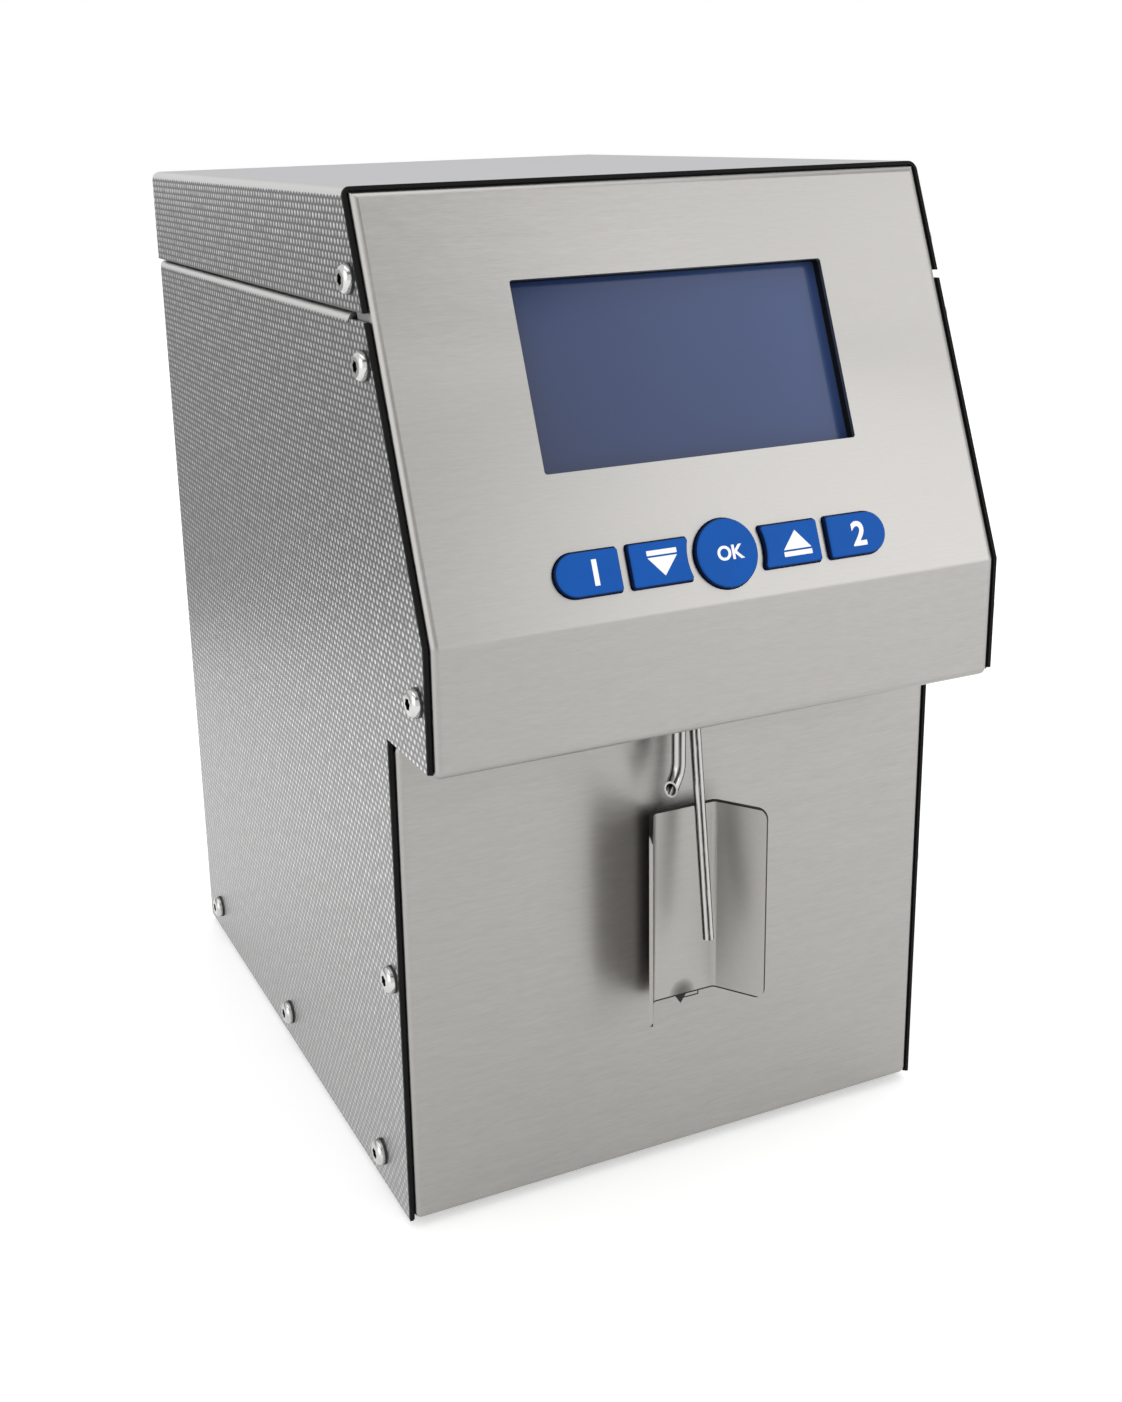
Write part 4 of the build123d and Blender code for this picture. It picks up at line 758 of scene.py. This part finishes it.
@dataclass(frozen=True)
class EmbossedSteel:
    """Stainless sheet rolled with rows of raised grains, whose light crests are painted glints,
    fainter low down, plain on its top.
    """

    name: str
    hollow: Colour
    glint_crest: Colour
    plain: Colour
    bend: Colour
    low_fade: Colour
    roughness: float
    row_pitch: float = 1.9
    row_stagger: float = 0.5
    grain_pitch: float = 2.5
    grain_half_length: float = 0.8
    grain_half_width: float = 0.75
    grain_edge: Range = (0.2, 1.3)
    grain_depth: float = 0.12
    side_facing: float = 0.985
    top_facing: float = 0.96
    uneven_repeats: float = 300.0
    uneven_range: Range = (0.35, 0.75)
    uneven_share: float = 0.7
    low_fade_heights: Range = (20.0, 200.0)
    low_fade_share: float = 0.6

    def material(self) -> bpy.types.Material:
        """Builds the material.

        Returns:
            The material.
        """
        graph = NodeGraph(self.name)
        _, y, z = graph.point()
        normal_x, _, normal_z = graph.facing()
        on_side = graph.above(graph.sum("ABSOLUTE", normal_x), self.side_facing)
        on_top = graph.above(normal_z, self.top_facing)
        grain = graph.product(self.grains(graph, y, z), on_side)
        uneven = graph.cloud(self.uneven_repeats, CLOUD_OCTAVES)
        faded = graph.span(uneven, self.uneven_range, (0.0, self.uneven_share))
        # grains in near white: painted glints on the raised grains
        embossed = graph.blend(grain, self.hollow, graph.blend(faded, self.glint_crest, self.hollow))
        # grains blend into an even grey towards the bottom
        low_fade = graph.span(z, self.low_fade_heights, (self.low_fade_share, 0.0))
        embossed = graph.blend(low_fade, embossed, self.low_fade)
        graph.set(
            Base_Color=graph.blend(on_side, graph.blend(on_top, self.bend, self.plain), embossed),
            Metallic=1.0,
            Roughness=self.roughness,
            Normal=graph.bump(grain, self.grain_depth),
        )
        return graph.material

    def grains(self, graph: NodeGraph, y: Socket, z: Socket) -> Socket:
        """Staggered rows of oval grains.

        Args:
            graph: Graph to build them in.
            y: Depth in millimetres.
            z: Height in millimetres.

        Returns:
            Value socket, 1 on a grain.
        """
        row = graph.sum("DIVIDE", z, self.row_pitch)
        odd_row = graph.sum("MODULO", graph.sum("FLOOR", row), 2.0)
        stagger = graph.product(odd_row, self.row_stagger)
        column = graph.total(graph.sum("DIVIDE", y, self.grain_pitch), stagger)
        up = self.off_middle(graph, row, self.grain_half_length / self.row_pitch)
        along = self.off_middle(graph, column, self.grain_half_width / self.grain_pitch)
        return graph.span(graph.oval(up, along), self.grain_edge, (1.0, 0.0))

    def off_middle(self, graph: NodeGraph, count: Socket, reach: float) -> Socket:
        """Way from the middle of a repeat, where this reach of it counts as 1."""
        return graph.sum("DIVIDE", graph.sum("SUBTRACT", graph.sum("FRACT", count), 0.5), reach)


@dataclass(frozen=True)
class DisplayPane:
    """Glossy display pane, with a painted reflection that makes it a little lighter to its upper
    right.
    """

    name: str
    dark: Colour
    light: Colour
    roughness: float = 0.12
    gloss: float = 0.25
    painted_reflection_per_x: float = 0.008
    painted_reflection_per_z: float = 0.005
    painted_reflection_range: Range = (0.85, 1.75)
    cloud_repeats: float = 40.0
    cloud_share: float = 0.15
    wave_depth: float = 0.01

    def material(self) -> bpy.types.Material:
        """Builds the material.

        Returns:
            The material.
        """
        graph = NodeGraph(self.name)
        x, _, z = graph.point()
        cloud = graph.cloud(self.cloud_repeats, FINE_OCTAVES)
        # painted reflection: the pane grows lighter towards its upper right
        rise = graph.total(graph.product(x, self.painted_reflection_per_x), graph.product(z, self.painted_reflection_per_z))
        tone = graph.total(rise, graph.product(cloud, self.cloud_share))
        graph.set(
            Base_Color=graph.blend(graph.span(tone, self.painted_reflection_range, FULL), self.dark, self.light),
            Roughness=self.roughness,
            Specular_IOR_Level=self.gloss,
            Normal=graph.bump(cloud, self.wave_depth),
        )
        return graph.material


@dataclass(frozen=True)
class ClearPlastic:
    """Clear moulded cover."""

    name: str
    tint: Colour
    roughness: float
    clearness: float = 0.85
    cloud_repeats: float = 60.0

    def material(self) -> bpy.types.Material:
        """Builds the material.

        Returns:
            The material.
        """
        graph = NodeGraph(self.name)
        cloud = graph.cloud(self.cloud_repeats, CLOUD_OCTAVES)
        graph.set(
            Base_Color=self.tint,
            Transmission_Weight=self.clearness,
            Roughness=graph.span(cloud, NOISE_SPREAD, (self.roughness, self.roughness * 2)),
        )
        return graph.material


FINISHES = (
    EmbossedSteel(
        name="cover_steel",
        hollow=(0.2, 0.2, 0.202),
        glint_crest=(0.95, 0.95, 0.95),
        plain=(0.5, 0.5, 0.515),
        bend=(0.58, 0.58, 0.572),
        low_fade=(0.33, 0.33, 0.327),
        roughness=0.36,
    ),
    BrushedSteel("front_steel", (0.342, 0.333, 0.32), 0.38),
    HolderSteel("holder_steel", (0.38, 0.37, 0.352), 0.5),
    PlainMetal("tray_steel", (0.55, 0.55, 0.57), 0.35),
    BrushedSteel("rear_steel", (0.5, 0.5, 0.495), 0.34),
    MouldedFinish("seal_rubber", (0.004, 0.004, 0.004), 0.6, gloss=0.1),
    MouldedFinish("foot_rubber", (0.02, 0.02, 0.02), 0.7),
    PlainMetal("bright_screw", (0.56, 0.56, 0.55), 0.22),
    PlainMetal("screw_shade", (0.03, 0.03, 0.03), 0.4),
    # washers in near black: painted shade under the screw heads
    PlainMetal("shade_washer", (0.06, 0.06, 0.06), 0.4),
    PlainMetal("nut_steel", (0.6, 0.6, 0.62), 0.3),
    MouldedFinish("frame_plastic", (0.004, 0.004, 0.004), 0.5, gloss=0.15),
    DisplayPane("display_pane", (0.012, 0.026, 0.085), (0.035, 0.062, 0.165)),
    PlainMetal("display_can", (0.6, 0.6, 0.6), 0.3),
    MouldedFinish("circuit_board", (0.02, 0.12, 0.05), 0.35),
    KeySilicone("key_silicone", (0.003, 0.075, 0.34), 0.45, gloss=0.1, mottle=0.15),
    MouldedFinish("mat_silicone", (0.5, 0.5, 0.5), 0.6),
    DrawnTube("tube_steel", (0.46, 0.455, 0.44), (0.03, 0.03, 0.028), 0.22),
    MouldedFinish("hose_silicone", (0.75, 0.74, 0.7), 0.4),
    PlainMetal("standoff_brass", (0.72, 0.52, 0.25), 0.25),
    PlainMetal("cell_aluminium", (0.7, 0.7, 0.72), 0.35),
    MouldedFinish("heater_pad", (0.35, 0.1, 0.04), 0.5),
    MouldedFinish("pump_plastic", (0.05, 0.05, 0.055), 0.45),
    ClearPlastic("pump_window", (0.9, 0.93, 0.95), 0.06),
    MouldedFinish("white_plastic", (0.82, 0.82, 0.82), 0.5),
    PlainMetal("motor_metal", (0.62, 0.62, 0.64), 0.28),
    MouldedFinish("chip_plastic", (0.02, 0.02, 0.022), 0.5),
    MouldedFinish("ribbon_plastic", (0.5, 0.5, 0.52), 0.45),
    PlainMetal("port_shell", (0.66, 0.66, 0.67), 0.25),
    MouldedFinish("inlet_plastic", (0.015, 0.015, 0.016), 0.4),
    MouldedFinish("switch_plastic", (0.015, 0.015, 0.016), 0.4),
    MouldedFinish("rocker_plastic", (0.02, 0.02, 0.02), 0.35),
)

# the cover washers get near black: painted shade under the screw heads
SPECIAL_FINISHES = {"sample_holder": "holder_steel", "cover_washers": "shade_washer"}


class Wardrobe:
    """All the finishes, each made once, and what they dress."""

    def __init__(self) -> None:
        """Builds every material."""
        self.materials = {finish.name: finish.material() for finish in FINISHES}

    def dress_frame(self) -> None:
        """Gives every node of the frame the material of its slot."""
        for entry in frame["record"]["subparts"]:
            node = frame["nodes"][entry["node"]]
            finish = SPECIAL_FINISHES.get(entry["node"], entry["material_slot"])
            node.data.materials.clear()
            node.data.materials.append(self.materials[finish])

    def dress(self, piece: bpy.types.Object, slot: str, body: str) -> None:
        """Gives a new piece its material and body.

        Args:
            piece: Piece to dress.
            slot: Material slot of the record.
            body: Body that it moves with.
        """
        piece.data.materials.clear()
        piece.data.materials.append(self.materials[slot])
        self.enrol(piece, body)

    def enrol(self, piece: bpy.types.Object, body: str) -> None:
        """Gives a new piece its body.

        Args:
            piece: Piece that has its materials.
            body: Body that it moves with.
        """
        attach(piece, body)
        log.info("%s rides on %s", piece.name, body)


@dataclass
class CoverScrews:
    """Button head screws, with a six-lobed recess, that hold the side and top covers."""

    head_radius: float = 3.7
    head_height: float = 2.0
    head_sides: int = 40
    crown: float = 1.35
    crown_segments: int = 6
    crown_profile: float = 0.46
    recess_radius: float = 1.8
    recess_depth: float = 1.2
    recess_lip: float = 0.1
    lobes: int = 6
    lobe_valley: float = 0.74
    lobe_round: float = 0.28
    lobe_segments: int = 3
    shank_radius: float = 2.0
    shank_length: float = 5.0
    level_facing: float = 0.9
    smooth_degrees: float = 32.0
    spots: tuple[tuple[float, float], ...] = (
        (-83.178, 266.0),
        (-91.466, 245.4),
        (-117.875, 166.0),
        (-90.325, 76.9),
        (-74.725, 13.0),
        (13.275, 13.0),
        (101.275, 13.0),
    )
    turn_step: float = 0.41

    def build(self, wardrobe: Wardrobe) -> None:
        """Builds all the screws as one piece.

        Args:
            wardrobe: Materials to dress it with.
        """
        pattern = self.model_screw(wardrobe)
        screws = []
        for side in Side:
            for index, (y, z) in enumerate(self.spots):
                turn = Matrix.Rotation(self.turn_step * (index + 1), 4, "Z")
                screw = copy_piece(pattern, f"cover_screw_{side.name.lower()}_{index}")
                screws.append(settle(screw, side_matrix(side, WASHER_FACE_X, y, z) @ turn))
        bpy.data.objects.remove(pattern)
        joined = join_pieces(screws, "button_head_screws")
        wardrobe.enrol(joined, "cabinet")
        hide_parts("cover_screws")

    def model_screw(self, wardrobe: Wardrobe) -> bpy.types.Object:
        """Models one screw that stands on its seat at the origin, head upwards.

        Args:
            wardrobe: Materials to dress it with.

        Returns:
            The screw.
        """
        clear_selection()
        bpy.ops.mesh.primitive_cylinder_add(
            vertices=self.head_sides,
            radius=self.head_radius * MM,
            depth=self.head_height * MM,
            location=(0, 0, self.head_height * MM / 2),
        )
        screw = bpy.context.active_object
        bpy.ops.object.transform_apply()
        for finish in ("bright_screw", "screw_shade"):
            screw.data.materials.append(wardrobe.materials[finish])
        with EditSession(screw) as session:
            session.pick_faces(lambda face: face.normal.z > self.level_facing)
            bpy.ops.mesh.bevel(
                offset=self.crown * MM,
                segments=self.crown_segments,
                profile=self.crown_profile,
                affect="EDGES",
            )
            session.pick_faces(lambda face: face.normal.z < -self.level_facing)
            bpy.ops.mesh.inset(thickness=(self.head_radius - self.shank_radius) * MM)
            sink = (0, 0, -self.shank_length * MM)
            bpy.ops.mesh.extrude_region_move(TRANSFORM_OT_translate={"value": sink})
        self.cut_recess(screw)
        select_only([screw])
        bpy.ops.object.shade_smooth_by_angle(angle=math.radians(self.smooth_degrees))
        return screw

    def cut_recess(self, screw: bpy.types.Object) -> None:
        """Cuts the six-lobed recess into the head.

        Args:
            screw: Screw to cut.
        """
        clear_selection()
        bpy.ops.mesh.primitive_cylinder_add(
            vertices=self.lobes * 2,
            radius=self.recess_radius * MM,
            depth=self.recess_depth * 2 * MM,
            location=(0, 0, self.head_height * MM),
        )
        cutter = bpy.context.active_object
        bpy.ops.object.transform_apply()
        with EditSession(cutter) as session:
            session.pick_vertices(self.in_valley)
            shrink = (self.lobe_valley, self.lobe_valley, 1.0)
            bpy.ops.transform.resize(value=shrink, center_override=ORIGIN)
            session.pick_rising_edges(self.recess_depth * MM)
            bpy.ops.mesh.bevel(
                offset=self.lobe_round * MM, segments=self.lobe_segments, affect="EDGES"
            )
        cut = screw.modifiers.new("recess", "BOOLEAN")
        cut.operation = "DIFFERENCE"
        cut.object = cutter
        select_only([screw])
        bpy.ops.object.modifier_apply(modifier="recess")
        bpy.data.objects.remove(cutter)
        mouth = (self.head_height - self.recess_lip) * MM
        for polygon in screw.data.polygons:
            middle = polygon.center
            if math.hypot(middle.x, middle.y) < self.recess_radius * MM and 0 < middle.z < mouth:
                polygon.material_index = 1

    def in_valley(self, place: Vector) -> bool:
        """Says whether a corner of the cutter lies between two lobes."""
        return round(math.atan2(place.y, place.x) * self.lobes * 2 / math.tau) % 2 == 1


@dataclass
class KeyLegends:
    """White legends printed on the keys: figures, arrows over or under a bar, and OK."""

    face_lift: float = 1.6
    print_depth: float = 0.05
    figure_height: float = 6.7
    word_height: float = 3.9
    letter_swell: float = 0.028
    letter_steps: int = 6
    letter_depth: float = 0.01
    bar_length: float = 8.7
    bar_width: float = 1.3
    bar_gap: float = 0.5
    arrow_length: float = 8.6
    arrow_height: float = 5.0
    corner: float = 0.12
    corner_segments: int = 2
    one_x: float = -38.6
    down_x: float = -19.2
    ok_x: float = 0.8
    up_x: float = 21.1
    two_x: float = 40.9

    def build(self, wardrobe: Wardrobe) -> None:
        """Builds every legend on its key.

        Args:
            wardrobe: Materials to dress them with.
        """
        self.place_text(wardrobe, "legend_one", "1", self.figure_height, self.one_x, "key_one_cap")
        self.place_arrow(wardrobe, "legend_down", self.down_x, "key_down_cap", pointing_down=True)
        self.place_text(wardrobe, "legend_ok", "OK", self.word_height, self.ok_x, "key_enter_cap")
        self.place_arrow(wardrobe, "legend_up", self.up_x, "key_up_cap", pointing_down=False)
        self.place_text(wardrobe, "legend_two", "2", self.figure_height, self.two_x, "key_two_cap")

    def place_text(
        self, wardrobe: Wardrobe, name: str, text: str, height: float, x: float, body: str
    ) -> None:
        """Prints a figure or word on a key.

        Args:
            wardrobe: Materials to dress it with.
            name: Name of the piece.
            text: What it reads.
            height: Height of its letters in millimetres.
            x: Millimetres across the slope.
            body: Body of the key.
        """
        clear_selection()
        bpy.ops.object.text_add()
        words = bpy.context.active_object
        words.data.body = text
        words.data.align_x = "CENTER"
        words.data.align_y = "CENTER"
        words.data.offset = self.letter_swell
        words.data.resolution_u = self.letter_steps
        words.data.extrude = self.letter_depth
        bpy.ops.object.convert(target="MESH")
        piece = bpy.context.active_object
        piece.name = name
        low, high = extent(piece.bound_box)
        scale = height * MM / (high.y - low.y)
        depth_scale = self.print_depth * MM / self.letter_depth
        centre = Matrix.Translation(-(low + high) / 2)
        fit = Matrix.Diagonal((scale, scale, depth_scale, 1.0)) @ centre
        settle(piece, slope_matrix(x, KEY_ROW, self.face_lift) @ fit)
        wardrobe.dress(piece, "white_plastic", body)

    def place_arrow(
        self, wardrobe: Wardrobe, name: str, x: float, body: str, pointing_down: bool
    ) -> None:
        """Prints an arrow and its bar on a key.

        Args:
            wardrobe: Materials to dress it with.
            name: Name of the piece.
            x: Millimetres across the slope.
            body: Body of the key.
            pointing_down: Whether the arrow points down, with the bar above it.
        """
        whole = self.bar_width + self.bar_gap + self.arrow_height
        sign = 1.0 if pointing_down else -1.0
        bar = self.model_bar(sign * (whole - self.bar_width) / 2)
        arrow = self.model_arrow(-sign * (whole - self.arrow_height) / 2, sign)
        piece = join_pieces([bar, arrow], name)
        with EditSession(piece) as session:
            session.pick_rising_edges(self.print_depth * MM)
            bpy.ops.mesh.bevel(
                offset=self.corner * MM, segments=self.corner_segments, affect="EDGES"
            )
        settle(piece, slope_matrix(x, KEY_ROW, self.face_lift))
        wardrobe.dress(piece, "white_plastic", body)

    def model_bar(self, y: float) -> bpy.types.Object:
        """Models the bar.

        Args:
            y: Millimetres from the legend's middle.

        Returns:
            The bar.
        """
        clear_selection()
        bpy.ops.mesh.primitive_cube_add(size=1, location=(0, y * MM, 0))
        bar = bpy.context.active_object
        bar.scale = (self.bar_length * MM, self.bar_width * MM, self.print_depth * 2 * MM)
        bpy.ops.object.transform_apply()
        return bar

    def model_arrow(self, y: float, sign: float) -> bpy.types.Object:
        """Models the arrow.

        Args:
            y: Millimetres from the legend's middle.
            sign: 1 for an arrow that points down, -1 for one that points up.

        Returns:
            The arrow.
        """
        clear_selection()
        bpy.ops.mesh.primitive_cylinder_add(vertices=3, radius=1, depth=1)
        arrow = bpy.context.active_object
        with EditSession(arrow) as session:
            session.pick_vertices(lambda place: True)
            low, high = extent([vertex.co for vertex in session.mesh.verts])
            size = high - low
            bpy.ops.transform.translate(value=(0, -(low.y + high.y) / 2, 0))
            bpy.ops.transform.resize(
                value=(
                    self.arrow_length * MM / size.x,
                    -sign * self.arrow_height * MM / size.y,
                    self.print_depth * 2 * MM,
                ),
                center_override=ORIGIN,
            )
            bpy.ops.transform.translate(value=(0, y * MM, 0))
            bpy.ops.mesh.normals_make_consistent(inside=False)
        return arrow


@dataclass(frozen=True)
class Lamp:
    """Soft square lamp, with its side in metres and its power in watts."""

    name: str
    place: tuple[float, float, float]
    aim: tuple[float, float, float]
    size: float
    power: float

    def build(self) -> None:
        """Adds the lamp."""
        lamp = bpy.data.lights.new(self.name, "AREA")
        lamp.size = self.size
        lamp.energy = self.power
        holder = bpy.data.objects.new(self.name, lamp)
        bpy.context.collection.objects.link(holder)
        holder.location = self.place
        holder.rotation_mode = "QUATERNION"
        beam = Vector(self.aim) - Vector(self.place)
        holder.rotation_quaternion = beam.to_track_quat("-Z", "Y")


@dataclass(frozen=True)
class Card:
    """Upright card, measured in metres, that faces the cabinet and only shows in reflections."""

    name: str
    place: tuple[float, float, float]
    width: float
    height: float
    tone: float
    cells: int = 2

    def build(self) -> None:
        """Stands the card."""
        clear_selection()
        bpy.ops.mesh.primitive_grid_add(
            x_subdivisions=self.cells, y_subdivisions=self.cells, size=1
        )
        card = bpy.context.active_object
        card.name = self.name
        out = Vector((-self.place[0], -self.place[1], 0.0)).normalized()
        stand = axes_matrix(UP.cross(out), UP, out, Vector(self.place))
        settle(card, stand @ Matrix.Diagonal((self.width, self.height, 1.0, 1.0)))
        graph = NodeGraph(self.name)
        graph.set(
            Base_Color=(0.0, 0.0, 0.0),
            Roughness=1.0,
            Specular_IOR_Level=0.0,
            Emission_Color=WHITE,
            Emission_Strength=self.tone,
        )
        card.data.materials.append(graph.material)
        card.visible_camera = False
        card.visible_diffuse = False
        card.visible_shadow = False


LAMPS = (
    Lamp("key_lamp", place=(0.3, 0.2, 2.6), aim=(0.0, 0.0, 0.1), size=2.2, power=19),
    Lamp("side_lamp", place=(1.21, -1.48, 0.81), aim=(0.0, 0.0, 0.2), size=1.2, power=8.2),
    Lamp("left_lamp", place=(-1.6, -0.8, 1.0), aim=(0.0, 0.0, 0.15), size=2.0, power=13),
)

CARDS = (
    Card("rear_left_card", place=(-0.25, 0.45, 0.14), width=1.0, height=0.28, tone=0.5),
    Card("rear_right_card", place=(0.75, 1.5, 0.6), width=1.6, height=1.2, tone=0.66),
    Card("front_card", place=(0.0, -1.2, 1.55), width=1.3, height=0.9, tone=0.1),
)


@dataclass
class Studio:
    """Floor, world, lamps and cards."""

    floor_size: float = 30.0
    floor_cells: int = 4
    floor_tone: float = 0.86
    floor_mottle: float = 0.01
    floor_repeats: float = 3.0
    floor_roughness: float = 0.9
    floor_gloss: float = 0.1
    floor_lift: float = 0.3
    fill: float = 0.8
    seen_by: tuple[str, ...] = ("Is Camera Ray", "Is Glossy Ray", "Is Transmission Ray")

    def build(self) -> None:
        """Builds the floor, the world, the lamps and the cards."""
        self.build_floor()
        self.build_world()
        for part in (*LAMPS, *CARDS):
            part.build()

    def build_floor(self) -> None:
        """Lays a large pale floor that shows white and keeps the shadow."""
        clear_selection()
        bpy.ops.mesh.primitive_grid_add(
            x_subdivisions=self.floor_cells, y_subdivisions=self.floor_cells, size=self.floor_size
        )
        floor = bpy.context.active_object
        floor.name = "floor"
        graph = NodeGraph("floor_paper")
        cloud = graph.cloud(self.floor_repeats, FINE_OCTAVES)
        dark = (self.floor_tone - self.floor_mottle,) * 3
        light = (self.floor_tone + self.floor_mottle,) * 3
        path = graph.add("ShaderNodeLightPath")
        seen = graph.largest(*(path.outputs[name] for name in self.seen_by))
        graph.set(
            Base_Color=graph.blend(cloud, dark, light),
            Roughness=self.floor_roughness,
            Specular_IOR_Level=self.floor_gloss,
            Emission_Color=WHITE,
            Emission_Strength=graph.product(seen, self.floor_lift),
        )
        floor.data.materials.append(graph.material)

    def build_world(self) -> None:
        """Makes the world white to the camera and dimmer as light."""
        world = bpy.data.worlds.new("studio")
        world.use_nodes = True
        bpy.context.scene.world = world
        nodes, links = world.node_tree.nodes, world.node_tree.links
        nodes.clear()
        output = nodes.new("ShaderNodeOutputWorld")
        back = nodes.new("ShaderNodeBackground")
        path = nodes.new("ShaderNodeLightPath")
        links.new(back.outputs[0], output.inputs["Surface"])
        share = path.outputs[self.seen_by[0]]
        for name in self.seen_by[1:]:
            wider = nodes.new("ShaderNodeMath")
            wider.operation = "MAXIMUM"
            links.new(share, wider.inputs[0])
            links.new(path.outputs[name], wider.inputs[1])
            share = wider.outputs[0]
        level = nodes.new("ShaderNodeMapRange")
        level.inputs["To Min"].default_value = self.fill
        level.inputs["To Max"].default_value = 1.0
        links.new(share, level.inputs["Value"])
        links.new(level.outputs[0], back.inputs["Strength"])
        back.inputs["Color"].default_value = WHITE


@dataclass
class Viewpoint:
    """Camera at the photograph's angle."""

    place: tuple[float, float, float] = (-0.22443, -0.476506, 0.303923)
    turn_degrees: tuple[float, float, float] = (74.0841, 1.6072, -24.0559)
    lens: float = 42.6814
    sensor: float = 36.0
    shift_x: float = 0.05494
    shift_y: float = -0.08002
    nearest: float = 0.01
    farthest: float = 50.0

    def build(self) -> None:
        """Adds the camera and makes it the scene's."""
        data = bpy.data.cameras.new("view")
        data.lens = self.lens
        data.sensor_width = self.sensor
        data.shift_x = self.shift_x
        data.shift_y = self.shift_y
        data.clip_start = self.nearest
        data.clip_end = self.farthest
        camera = bpy.data.objects.new("view", data)
        bpy.context.collection.objects.link(camera)
        camera.location = self.place
        camera.rotation_euler = tuple(math.radians(angle) for angle in self.turn_degrees)
        bpy.context.scene.camera = camera


def main() -> None:
    """Dresses the frame and builds the pieces in order."""
    logging.basicConfig(level=logging.INFO, format="%(name)s: %(message)s")
    bpy.context.scene.view_settings.view_transform = "Standard"
    wardrobe = Wardrobe()
    wardrobe.dress_frame()
    CoverScrews().build(wardrobe)
    KeyLegends().build(wardrobe)
    Studio().build()
    Viewpoint().build()


if __name__ == "__main__":
    main()
